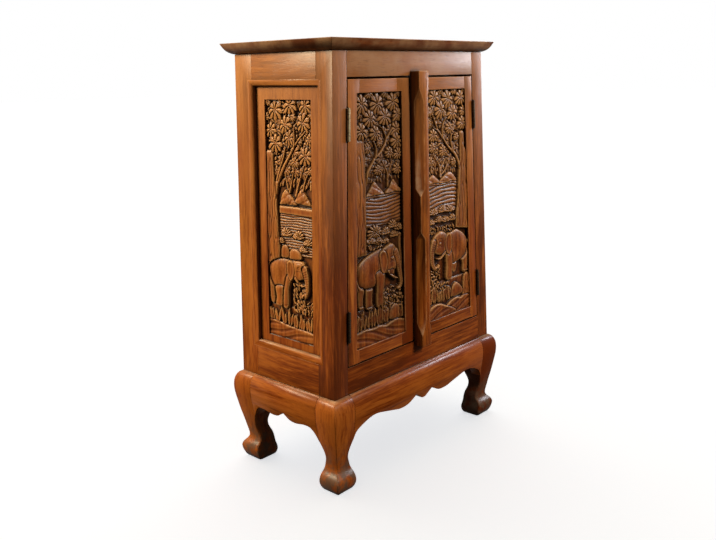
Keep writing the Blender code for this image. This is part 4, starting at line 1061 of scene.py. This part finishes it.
def right_door(field):
    """Tall tree at the right, and an elephant over two rocky slopes."""
    left = 38
    right = 200
    field.roughen(0.5, 3)
    # far hills, water and bank
    foliage(field, 45, 150, 606, 668, 9, 13, 1.2, 22, 120, 110)
    canopy(field, 46, 172, 640, 782, 15, 0.6, 26)
    hill(field, [(36, 578), (44, 594), (54, 604), (64, 608), (74, 602), (84, 595), (90, 580)], 2.2, 16)
    hill(field, [(76, 576), (86, 592), (98, 600), (112, 607), (122, 609), (134, 604), (146, 592),
                 (152, 578)], 2.4, 17)
    field.ripples((left, 520), (right, 586), 1.4, 2.0, 8.6, waves(-6, -60, 36))
    field.stroke([(40, 584, 2), (70, 586, 2.4), (100, 583, 2.2), (130, 585, 2.6), (156, 580, 2)], 2.2, 2.0)
    # bushes
    bushes(field, [(64, 520, 18), (96, 524, 16), (124, 520, 18), (56, 500, 14), (82, 502, 16),
                   (108, 500, 15), (134, 500, 16), (158, 494, 17), (176, 490, 13)], 2.6, 34)
    foliage(field, 44, 180, 476, 492, 8, 10, 3.0, 42, 150)
    # small tree between the hills
    branches(field,
             (3.6, 2.4, (90, 600, 3.0), (89, 612, 2.6), (87, 622, 2.3), (80, 634, 2.0), (70, 645, 1.6),
              (61, 657, 1.2)),
             (3.4, 2.0, (88, 618, 2.0), (98, 627, 1.6), (107, 638, 1.1)),
             (3.4, 2.0, (91, 604, 2.0), (104, 612, 1.7), (114, 624, 1.3), (120, 634, 1.0)))
    # tall tree
    stars(field, [(48, 786, 12), (90, 787, 13), (136, 786, 13), (174, 784, 11), (66, 771, 20),
                  (158, 768, 20), (113, 766, 23), (50, 742, 13), (170, 739, 15), (131, 737, 20),
                  (90, 744, 21), (165, 713, 18), (121, 704, 15), (62, 691, 17), (60, 666, 14),
                  (96, 657, 14), (50, 716, 12), (104, 735, 9), (144, 684, 11), (52, 636, 13),
                  (136, 630, 11)], 3.6, 52)
    trunk = [(right, 470), (143, 480), (142, 508), (147, 528), (150, 550), (151, 580), (153, 604),
             (158, 626), (159, 660), (157, 694), (166, 697), (172, 690), (174, 660), (right, 640)]
    branches(field,
             (5.4, 3.0, (160, 612, 5.0), (150, 632, 4.0), (138, 648, 3.4), (124, 658, 3.0), (111, 669, 2.8),
              (100, 681, 2.6), (89, 692, 2.4), (79, 703, 2.2), (72, 716, 2.0), (65, 730, 1.7),
              (57, 742, 1.3)),
             (5.6, 2.4, (133, 652, 2.6), (128, 664, 2.2), (125, 678, 1.8), (128, 691, 1.4)),
             (5.6, 2.4, (96, 685, 2.2), (95, 699, 1.8), (98, 712, 1.5), (105, 722, 1.1)),
             (5.4, 2.0, (80, 702, 1.8), (71, 705, 1.5), (60, 713, 1.1)))
    field.shape(trunk, 5.4, 3.6, 9, 2.4, 2.2, texture=bark(62, 4.0, 46.0, 1.2))
    # ground, elephant and what grows round its feet
    field.shape([(left, 300), (right, 300), (right, 372), (160, 366), (130, 366), (100, 366), (70, 360),
                 (left, 356)], 1.2, 1.0, 4, texture=uneven(0.5, 4, 6, 9))
    elephant_right(field)
    foliage(field, 44, 84, 350, 398, 7.0, 9, 4.2, 73, 150)
    grass(field, 44, 78, 6, 320, 366, 4.6, 84, 6.0)
    grass(field, 80, 126, 8, 318, 356, 3.4, 85, 5.0)
    foliage(field, 84, 118, 338, 362, 7.5, 9, 4.4, 74, 170)
    field.form([(124, 322), (124, 338), (132, 350), (142, 354), (154, 348), (165, 337), (166, 324)],
               4.6, 3.8, 12, texture=uneven(0.4, 5, 7, 5))
    field.form([(168, 316), (168, 340), (172, 364), (184, 370), (196, 360), (198, 330), (190, 314)],
               5.0, 3.0, 9, texture=bark(64, 3.0, 20, 1.0))
    # slopes
    near = bend([(100, 300), (112, 310), (128, 317), (146, 319), (158, 315), (172, 319), (186, 318),
                 (right, 312)])
    slope = bend([(left, 306), (50, 314), (66, 318), (84, 316), (104, 308), (124, 300), (140, 292)])
    cuts = strata(1.1, -0.3, 3, 17, 3.0, 3)
    field.shape(near + [(right, 270), (100, 270)], 4.4, 3.2, 4, texture=cuts)
    field.shape(slope + [(140, 270), (left, 270)], 5.2, 3.2, 4, texture=cuts)


def elephant_side(field):
    """A smaller elephant that walks towards the front."""
    skin = hide(23)
    field.form([(62, 440), (64, 410), (60, 366), (47, 364), (48, 390), (50, 416), (52, 436)],
               3.0, 3.6, 8, 2.4, 1.8, texture=skin)
    field.form([(64, 436), (58, 446), (44, 454), (24, 459), (4, 459), (-8, 456), (-10, 436), (-6, 416),
                (4, 404), (20, 398), (36, 396), (48, 398), (58, 410)], 1.8, 5.0, 18, 2.4, 2.0,
               texture=hide(24, (46, 432, 14, 1.2), (20, 426, 12, -1.0), (4, 438, 12, 0.9)))
    field.form([(22, 402), (23, 380), (22, 360), (43, 358), (43, 378), (46, 398)], 3.2, 3.6, 8, 2.2, 1.8,
               texture=skin)
    field.form([(-6, 424), (2, 396), (4, 360), (20, 358), (20, 384), (16, 408), (8, 428)],
               4.0, 3.8, 9, 2.2, 1.8, texture=skin)
    field.form([(-2, 456), (-14, 459), (-30, 460), (-42, 457), (-49, 446), (-50, 434), (-44, 426),
                (-28, 420), (-12, 420), (0, 430)], 3.6, 4.4, 13, 2.0, 1.6,
               texture=hide(25, (-24, 450, 9, 0.8), (-22, 434, 8, -0.7)))
    field.stroke([(-44, 444, 8.4), (-49, 430, 7.6), (-51, 414, 6.6), (-50, 400, 5.6), (-45, 390, 4.8),
                  (-38, 389, 4.0)], 4.8, 2.8, texture=rings)
    field.stroke([(-18, 424, 3.4), (-27, 414, 3.0), (-36, 410, 2.2), (-43, 411, 1.3)], 6.0, 1.8)
    field.form([(6, 455), (-4, 459), (-13, 452), (-16, 438), (-12, 424), (-4, 416), (4, 424), (8, 440)],
               6.2, 1.5, 3.0, 1.8, 1.8, texture=dish(1.0))
    field.form([(-34, 446), (-30, 449), (-25, 446), (-30, 443)], 7.2, 0.8, 2.4, 1.2, 0.8)
    wrinkles(field, (454, 438), (-36, -30, -22), 2, 0.8)
    field.stroke([(62, 446, 1.5), (66, 430, 1.3), (66, 412, 1.2)], 4.8, 1.6)
    toes(field, ((363, 5, 19), (362, 24, 42)), 6.4, 0.8)


def side(field):
    """Tall tree at the back, and a smaller elephant on flat ground."""
    left = -75
    right = 70
    field.roughen(0.4, 4)
    # far hills, bank and water
    foliage(field, -66, 30, 604, 662, 10, 15, 0.9, 23, 60, 112)
    canopy(field, -64, 62, 636, 772, 15, 0.2, 27)
    hill(field, [(-80, 570), (-68, 572), (-58, 582), (-48, 594), (-40, 603), (-33, 603), (-26, 595),
                 (-18, 584), (-10, 574)], 1.4, 18)
    hill(field, [(-24, 570), (-14, 582), (-4, 590), (4, 597), (12, 600), (19, 594), (25, 582), (30, 568)],
         1.6, 19)
    field.shape([(left, 550), (30, 550), (30, 566), (-20, 567), (left, 566)], 2.6, 2.0, 4)
    field.ripples((left, 470), (30, 551), 0.6, 2.0, 5.2, waves(1.6, 0, 30))
    # bushes and boulders
    bushes(field, [(-26, 505, 19), (10, 508, 18), (-54, 494, 16), (-40, 480, 14), (26, 492, 12)], 1.8, 35)
    field.form([(-32, 462), (-32, 474), (-20, 482), (-4, 481), (3, 470), (0, 460)], 2.6, 3.0, 9)
    field.form([(2, 464), (4, 480), (13, 488), (24, 484), (28, 470), (24, 460)], 2.4, 2.8, 9)
    # far branches
    branches(field,
             (2.4, 2.2, (-40, 600, 3.0), (-46, 618, 2.4), (-54, 634, 1.8), (-62, 648, 1.3)),
             (2.6, 2.4, (-20, 590, 3.6), (-28, 612, 2.8), (-36, 632, 2.0), (-44, 650, 1.4)),
             (2.6, 2.2, (-2, 596, 3.0), (-8, 616, 2.4), (-13, 636, 1.6), (-14, 648, 1.1)),
             (2.4, 2.0, (2, 600, 2.4), (8, 618, 1.9), (12, 636, 1.4)))
    # tall tree
    stars(field, [(-66, 748, 10), (-14, 742, 10), (26, 772, 10), (62, 742, 10), (-52, 764, 19),
                  (37, 756, 23), (-8, 765, 21), (-45, 731, 21), (50, 717, 18), (7, 727, 20), (-62, 700, 14),
                  (-4, 702, 17), (36, 690, 22), (-50, 668, 21), (-20, 655, 13), (58, 772, 10),
                  (-34, 698, 9), (-62, 640, 10)], 2.4, 54, 8, 2.0)
    field.stroke([(42, 590, 7.0), (34, 612, 5.6), (22, 632, 4.6), (9, 651, 4.0), (-5, 669, 3.6),
                  (-18, 687, 3.2), (-32, 701, 2.6), (-50, 716, 1.8)], 3.6, 3.0, 2.2, 2.0,
                 texture=bark(66, 2.2, 16, 0.6))
    branches(field,
             (4.2, 2.4, (-17, 686, 2.8), (-19, 702, 2.2), (-17, 720, 1.6)),
             (4.0, 2.4, (34, 618, 3.2), (25, 640, 2.8), (15, 660, 2.4), (8, 682, 1.8)))
    field.shape([(30, 440), (28, 480), (31, 505), (33, 540), (36, 580), (40, 610), (43, 640), (44, 668),
                 (50, 676), (right, 676), (right, 440)], 3.8, 3.2, 8, 2.2, 2.0,
                texture=bark(65, 4.0, 40.0, 1.1))
    # ground, elephant and grass
    field.shape([(left, 300), (right, 300), (right, 362), (20, 360), (-20, 362), (-50, 372), (left, 380)],
                0.8, 0.8, 4, texture=uneven(0.4, 4, 6, 10))
    elephant_side(field)
    foliage(field, -66, -30, 350, 380, 8, 10, 2.6, 75, 150)
    foliage(field, -46, -8, 352, 412, 8, 11, 3.2, 76, 60, 60)
    grass(field, -66, -8, 8, 318, 352, 3.0, 86, 6.5)
    grass(field, -8, 66, 8, 322, 362, 3.6, 87, 8.5)
    # ledge
    top = bend([(left, 316), (-50, 319), (-20, 320), (10, 322), (40, 326), (right, 328)])
    field.shape(top + [(right, 270), (left, 270)], 3.4, 2.4, 3.5,
                texture=strata(1.0, 0.22, 2, 15, 2.6, 2.5))


# Carved panels as meshes

# How the painted shade with dirt in the hollows and the painted highlight with wear on the crests follow the
# carving: blurs in cells, depths in millimetres
WIDE_BLUR = 5.0
NARROW_BLUR = 1.5
CREST_BLUR = 2.2
HOLLOW_DEPTH = 1.6
CREASE_DEPTH = 0.45
BUSY_DEPTH = 0.30
CREST_HEIGHT = 0.75
DEEP_SHARE = 0.40
DEEP_FADE_SHARE = 0.34
HOLLOW_MIX_SHARES = (0.70, 0.50, 0.75)

# How far each carving is stained where it is busy, and the tone and seed of its wood
LEFT_DOOR_PATINA = 0.60
RIGHT_DOOR_PATINA = 0.22
SIDE_PATINA = 0.05
DOOR_TONE = -0.05
SIDE_TONE = 0.07
DOOR_WOOD_SEED = 60
SIDE_WOOD_SEED = 66
CARVED_SHARP_ANGLE = math.radians(80)
BORDER = (np.s_[0, :], np.s_[-1, :], np.s_[:, 0], np.s_[:, -1])


def grid_faces(rows, columns):
    """The faces of a grid of vertices."""
    corner = (np.arange(rows - 1)[:, None] * columns + np.arange(columns - 1)[None, :]).ravel()
    return np.stack([corner, corner + 1, corner + columns + 1, corner + columns], axis=1)


def border_runs(rows, columns):
    """The grid's outer vertices: bottom, right, top and left, each in order round the field."""
    index = np.arange(rows * columns).reshape(rows, columns)
    return [index[0, :].tolist(), index[:, -1].tolist(), index[-1, ::-1].tolist(), index[::-1, 0].tolist()]


def walls(start, runs, ring_count):
    """Faces from the field's edge through rings of four corners, and the back over the last ring."""
    faces = []
    last = start + 4 * (ring_count - 1)
    for number, run in enumerate(runs):
        following = (number + 1) % 4
        faces.append(run[::-1] + [start + number, start + following])
        for ring in range(start, last, 4):
            faces.append([ring + following, ring + number, ring + 4 + number, ring + 4 + following])
    return faces + [[last + 3, last + 2, last + 1, last]]


def carving_shade_and_highlight_shares(height, patina):
    """How far each place takes painted shade with dirt as a hollow, and how far painted highlight with wear
    as a crest.
    """
    peak = float(height.max())
    near = blur(height, NARROW_BLUR)
    # Painted shade with dirt: darker in hollows, on low ground and in creases, and patina where the carving
    # is busy
    hollow = np.clip((blur(height, WIDE_BLUR) - height) / HOLLOW_DEPTH, 0, 1)
    deep = np.clip((DEEP_SHARE * peak - height) / (DEEP_FADE_SHARE * peak), 0, 1)
    crease = np.clip((near - height) / CREASE_DEPTH, 0, 1)
    busy = np.clip(blur(np.abs(height - near), WIDE_BLUR) / BUSY_DEPTH, 0, 1)
    for_hollow, for_deep, for_crease = HOLLOW_MIX_SHARES
    hollow = np.clip(for_hollow * hollow + for_deep * deep + for_crease * crease + patina * busy, 0, 1)
    # Painted highlight with wear on what stands above its surroundings
    crest = np.clip((height - blur(height, CREST_BLUR)) / CREST_HEIGHT, 0, 1)
    return {"hollow": hollow, "crest": crest}


def carved_piece(node, body, field, points, rings, flip, patina, seed, tone):
    """A closed panel with its carving, in place of the CAD solid; flip turns its faces the other way."""
    rows, columns = field.height.shape
    points = points.reshape(-1, 3)
    runs = border_runs(rows, columns)
    faces = grid_faces(rows, columns).tolist() + walls(len(points), runs, len(rings))
    if flip:
        faces = [face[::-1] for face in faces]
    mesh = bpy.data.meshes.new(node)
    mesh.from_pydata(np.vstack([points, *rings]).tolist(), [], faces)
    mesh.validate()
    mesh.update()
    for key, values in carving_shade_and_highlight_shares(field.height, patina).items():
        for edge in BORDER:
            values[edge] = 0.0
        values = np.concatenate([values.ravel(), np.zeros(4 * len(rings))]).astype(np.float32)
        mesh.attributes.new(key, "FLOAT", "POINT").data.foreach_set("value", values)
    mesh.shade_smooth()
    mesh.set_sharp_from_angle(angle=CARVED_SHARP_ANGLE)
    for polygon in mesh.polygons[(rows - 1) * (columns - 1):]:
        polygon.use_smooth = False
    mesh.materials.append(wood(node + "_carved", "Z", seed, tone, carved=True))
    piece = add_piece(node + "_carving", mesh, body)
    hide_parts(node)


def door_panel(label, side, draw, patina):
    """The carved board of one door."""
    node = label + "_door_panel"
    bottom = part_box(label + "_door_bottom_rail")[1].z / MM
    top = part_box(label + "_door_top_rail")[0].z / MM
    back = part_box(node)[1].y

    def outer(z):
        return side * (half_width(z * MM) - DOOR_FIELD_INSET) / MM

    def inner(z):
        return side * DOOR_FIELD_TO_CENTRE / MM + 0 * z

    field = Carving(outer if side < 0 else inner, inner if side < 0 else outer, bottom, top, CARVING_PITCH)
    draw(field)
    field.height = blur(field.height, CARVING_BLUR)
    depth = FRONT_Y + DOOR_GROUND_DEPTH - field.height * MM
    points = np.stack([field.x * MM, depth, field.z * MM], axis=-1)
    corners = [points[place] * (1, 0, 1) + (0, back, 0) for place in ((0, 0), (0, -1), (-1, -1), (-1, 0))]
    carved_piece(node, label + "_door", field, points, [corners], False, patina, DOOR_WOOD_SEED + side,
                 DOOR_TONE)


def side_panels():
    """The carved boards of both sides; the right one mirrors the left."""
    low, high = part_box("side_panel_left")
    front, back = low.y + SIDE_GROOVE, high.y - SIDE_GROOVE
    bottom, top = low.z + SIDE_GROOVE, high.z - SIDE_GROOVE
    field = Carving(lambda z: (front + SIDE_FIELD_MARGIN) / MM + 0 * z,
                    lambda z: (back - SIDE_FIELD_MARGIN) / MM + 0 * z,
                    (bottom + SIDE_FIELD_BOTTOM_MARGIN) / MM, (top - SIDE_FIELD_TOP_MARGIN) / MM,
                    CARVING_PITCH)
    side(field)
    field.height = blur(field.height, CARVING_BLUR)
    for edge in BORDER:
        field.height[edge] = (SIDE_GROUND_DEPTH - SIDE_PANEL_RECESS) / MM
    inset = SIDE_GROUND_DEPTH - field.height * MM
    corners = ((front, bottom), (back, bottom), (back, top), (front, top))
    for label, sign in (("left", -1), ("right", 1)):
        points = np.stack([sign * (half_width(field.z * MM) - inset), field.x * MM, field.z * MM], axis=-1)
        rings = [[(sign * (half_width(z) - depth), y, z) for y, z in corners]
                 for depth in (SIDE_PANEL_RECESS, SIDE_PANEL_RECESS + SIDE_PANEL_THICKNESS)]
        carved_piece("side_panel_" + label, "cupboard", field, points, rings, sign < 0, SIDE_PATINA,
                     SIDE_WOOD_SEED + sign, SIDE_TONE)


# Moulding of the side frames

MOULDING_WIDTH = 0.0140
MOULDING_OVERHANG = 0.0012
MOULDING_DEPTH = 0.0090
MOULDING_SHARP_ANGLE = math.radians(50)
MOULDING_TONE = 0.06
UPRIGHT_SEED = 70
ACROSS_SEED = 74
MOULDING_SHARES = ((1.0, 0.16), (0.94, 0.03), (0.84, 0.0), (0.62, 0.05), (0.40, 0.16), (0.22, 0.34),
                   (0.09, 0.60), (0.02, 0.86), (0.0, 1.14), (0.0, 1.22), (1.0, 1.22))


def side_mouldings():
    """A rounded moulding, mitred at the corners, round the panel of each side."""
    low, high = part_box("side_panel_left")
    for label, sign in (("left", -1), ("right", 1)):
        shape = bmesh.new()
        rings = []
        for width, depth in MOULDING_SHARES:
            inset = SIDE_GROOVE + MOULDING_OVERHANG - width * MOULDING_WIDTH
            front, back, bottom, top = low.y + inset, high.y - inset, low.z + inset, high.z - inset
            corners = ((front, bottom), (back, bottom), (back, top), (front, top))
            rings.append([shape.verts.new((sign * (half_width(z) - depth * MOULDING_DEPTH), y, z))
                          for y, z in corners])
        for ring, following in zip(rings, rings[1:] + rings[:1]):
            for index in range(4):
                other = (index + 1) % 4
                face = shape.faces.new((ring[index], ring[other], following[other], following[index]))
                face.material_index = 1 - index % 2
        mesh = finished_mesh(shape, "side_moulding_" + label)
        mesh.shade_smooth()
        mesh.set_sharp_from_angle(angle=MOULDING_SHARP_ANGLE)
        for direction, grain, seed, dust_and_shade in (("upright_", "Z", UPRIGHT_SEED, None),
                                             ("across_", "Y", ACROSS_SEED, DUST_AND_SHADE_ON_MOULDING)):
            name = "side_moulding_" + direction + label
            mesh.materials.append(wood(name, grain, seed + sign, MOULDING_TONE, dust_and_shade=dust_and_shade))
        piece = add_piece("side_moulding_" + label, mesh, "cupboard")


# Hinges

# Painted highlight: the lighter brass of the left upper hinge
BRASS_WITH_PAINTED_HIGHLIGHT = (0.36, 0.30, 0.18)
BRONZE = (0.075, 0.050, 0.028)
TARNISH = (0.020, 0.014, 0.010)
LEAF_FACE = 0.00075
SCREW_RADIUS = 0.0026
SCREW_RISE = 0.0003
SCREW_SINK = 0.0002
SLOT_HALF_WIDTH = 0.0004
ARC_STEPS = 12
SCREW_TURN = 3.0
SCREW_SEED = 40
SCREW_PLACES = ((0.0085, -0.022), (0.0148, 0.0), (0.0085, 0.022))


def screw_head(shape, centre, sink, rise, turn):
    """A slotted head, as two halves with the slot between them, on a plane across X."""
    start = math.asin(SLOT_HALF_WIDTH / SCREW_RADIUS)
    for half in (0, math.pi):
        rim = [start + (math.pi - 2 * start) * step / ARC_STEPS + half + turn
               for step in range(ARC_STEPS + 1)]
        rings = [[shape.verts.new((level, centre[0] + SCREW_RADIUS * share * math.cos(angle),
                                   centre[1] + SCREW_RADIUS * share * math.sin(angle))) for angle in rim]
                 for level, share in ((sink, 1.0), (rise * 0.3, 1.0), (rise, 0.86))]
        for low, high in zip(rings, rings[1:]):
            for index, following in enumerate([*range(1, ARC_STEPS + 1), 0]):
                shape.faces.new((low[index], low[following], high[following], high[index]))
        shape.faces.new(rings[-1])
        shape.faces.new(rings[0][::-1])


def hinge_screws():
    """Three countersunk screws in each leaf."""
    lean = math.atan((HALF_WIDTH_BOTTOM - HALF_WIDTH_TOP) / (BODY_TOP - BODY_BOTTOM))
    for number, name in enumerate(sorted(frame["nodes"])):
        if not name.endswith("_leaf"):
            continue
        side = -1 if name.startswith("left") else 1
        low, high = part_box(name.replace("frame_leaf", "pin").replace("door_leaf", "pin"))
        facing = side if "frame_leaf" in name else -side
        shape = bmesh.new()
        for index, centre in enumerate(SCREW_PLACES):
            screw_head(shape, centre, facing * (LEAF_FACE + SCREW_SINK), facing * (LEAF_FACE - SCREW_RISE),
                       SCREW_TURN * chance(number, index))
        mesh = finished_mesh(shape, name + "_screws")
        mesh.transform(Matrix.Translation((low + high) / 2) @ Matrix.Rotation(-side * lean, 4, "Y"))
        mesh.materials.append(brass(name + "_screw_metal", BRONZE, TARNISH, SCREW_SEED + number))
        piece = add_piece(name + "_screws", mesh, body_of(name))


def hinge_materials():
    """Old brass on every leaf and pin; the left upper hinge is the brightest, its lighter brass a painted
    highlight.
    """
    for number, name in enumerate(sorted(frame["nodes"])):
        if "_hinge_" not in name or name.endswith("stile"):
            continue
        colours = (BRASS_WITH_PAINTED_HIGHLIGHT, BRONZE) if name.startswith("left_upper") else (BRONZE, TARNISH)
        mesh = frame["nodes"][name].data
        mesh.materials.clear()
        mesh.materials.append(brass(name + "_metal", *colours, number))


# Stage

CAMERA_PLACE = (-1.262557, -1.185122, 0.819736)
CAMERA_YAW = 49.22259
CAMERA_PITCH = -12.424295
CAMERA_ROLL = -1.098615
CAMERA_LENS = 39.838
CAMERA_SHIFT = (-0.06194, -0.02989)
SENSOR_WIDTH = 36.0

FLOOR_REACH = 30.0
FLOOR_DROP = 0.0002
FLOOR_GLOW = 0.68

# Lamps: place, target, size, power and colour
KEY_LAMP = ((-1.5, 1.45, 1.75), (-0.25, 0.05, 0.35), 0.6, 198.0, (1.0, 0.87, 0.60))
FRONT_LAMP = ((0.45, -2.05, 1.85), (0.0, -0.1, 0.35), 0.6, 118.0, (1.0, 0.90, 0.72))
SHEEN_LAMP = ((2.2, -1.15, 1.40), (0.2, -0.14, 0.84), 0.5, 112.0, (0.90, 0.93, 1.0))

# Surroundings: the bright side, and how far towards it or down the strength and the tint change
BRIGHT_SIDE = (0.60, 0.80, 0.0)
STRENGTH_RANGE = (0.1, 0.72)
TINT_RANGE = (0.4, 0.72)
FLOOR_LINE_RANGE = (-0.25, -0.06)
DIM_STRENGTH = 0.26
BELOW_STRENGTH = 0.35
WARM_WHITE = (1.0, 0.90, 0.72)
WHITE = (1.0, 1.0, 1.0)


def set_camera():
    """The photograph's camera."""
    yaw, pitch, roll = (math.radians(angle) for angle in (CAMERA_YAW, CAMERA_PITCH, CAMERA_ROLL))
    ahead = Vector((math.sin(yaw) * math.cos(pitch), math.cos(yaw) * math.cos(pitch), math.sin(pitch)))
    right = Vector((math.cos(yaw), -math.sin(yaw), 0.0))
    up = right.cross(ahead)
    rolled_right = math.cos(roll) * right + math.sin(roll) * up
    rolled_up = -math.sin(roll) * right + math.cos(roll) * up
    data = bpy.data.cameras.new("camera")
    data.sensor_width = SENSOR_WIDTH
    data.lens = CAMERA_LENS
    data.shift_x, data.shift_y = CAMERA_SHIFT
    camera = bpy.data.objects.new("camera", data)
    bpy.context.scene.collection.objects.link(camera)
    turn = Matrix((rolled_right, rolled_up, -ahead)).transposed().to_4x4()
    camera.matrix_world = Matrix.Translation(CAMERA_PLACE) @ turn
    bpy.context.scene.camera = camera


def set_floor():
    """A wide pale floor just under the feet, seen but throwing no light on the wood."""
    mesh = bpy.data.meshes.new("floor")
    corners = [(x * FLOOR_REACH, y * FLOOR_REACH, 0) for x, y in ((-1, -1), (1, -1), (1, 1), (-1, 1))]
    mesh.from_pydata(corners, [], [(0, 1, 2, 3)])
    mesh.materials.append(floor_material())
    floor = bpy.data.objects.new("floor", mesh)
    floor.location.z = -FLOOR_DROP
    bpy.context.scene.collection.objects.link(floor)
    floor.visible_glossy = False
    floor.visible_diffuse = False
    return floor


def area_light(name, unlit, place, target, size, power, colour):
    """A soft square lamp that faces a point and leaves some objects unlit."""
    data = bpy.data.lights.new(name, "AREA")
    data.shape = "RECTANGLE"
    data.size = data.size_y = size
    data.energy = power
    data.color = colour
    lamp = bpy.data.objects.new(name, data)
    bpy.context.scene.collection.objects.link(lamp)
    lamp.rotation_mode = "QUATERNION"
    lamp.rotation_quaternion = (Vector(target) - Vector(place)).to_track_quat("-Z", "Y")
    lamp.location = place
    lamp.light_linking.receiver_collection = unlit
    return lamp


def set_stage():
    """Pale floor, soft lamps from the upper left, the front and the right, and white surroundings."""
    floor = set_floor()
    set_surroundings()
    bpy.context.scene.view_settings.view_transform = "Standard"
    unlit = bpy.data.collections.new("not_lit_by_the_lamps")
    unlit.objects.link(floor)
    unlit.collection_objects[0].light_linking.link_state = "EXCLUDE"
    area_light("key", unlit, *KEY_LAMP)
    area_light("front", unlit, *FRONT_LAMP)
    area_light("sheen", unlit, *SHEEN_LAMP).visible_diffuse = False


def set_surroundings():
    """White walls beyond the cupboard, dim warm ones on the camera's side, and plain white where seen."""
    world = bpy.data.worlds.new("surroundings")
    world.use_nodes = True
    nodes = Nodes(world.node_tree)
    direction = nodes.add("ShaderNodeTexCoord").outputs["Generated"]
    towards = nodes.vector("DOT_PRODUCT", direction, BRIGHT_SIDE)["Value"]
    spread = nodes.spread(towards, *STRENGTH_RANGE, DIM_STRENGTH, 1.0, "SMOOTHSTEP")
    below = nodes.spread(nodes.up(direction), *FLOOR_LINE_RANGE, BELOW_STRENGTH)
    tint = nodes.mix(nodes.spread(towards, *TINT_RANGE), WARM_WHITE, WHITE)
    studio = nodes.add("ShaderNodeBackground", Color=tint, Strength=nodes.times(spread, below))
    backdrop = nodes.tree.nodes["Background"]
    nodes.feed(backdrop.inputs["Color"], WHITE)
    seen = nodes.add("ShaderNodeLightPath").outputs["Is Camera Ray"]
    either = nodes.chain("ShaderNodeMixShader", None, (seen, studio.outputs[0], backdrop.outputs[0]))[0]
    nodes.feed(nodes.tree.nodes["World Output"].inputs["Surface"], either)
    bpy.context.scene.world = world


build_wood()
door_panel("left", -1, left_door, LEFT_DOOR_PATINA)
door_panel("right", 1, right_door, RIGHT_DOOR_PATINA)
side_panels()
side_mouldings()
hinge_materials()
hinge_screws()
set_stage()
set_camera()
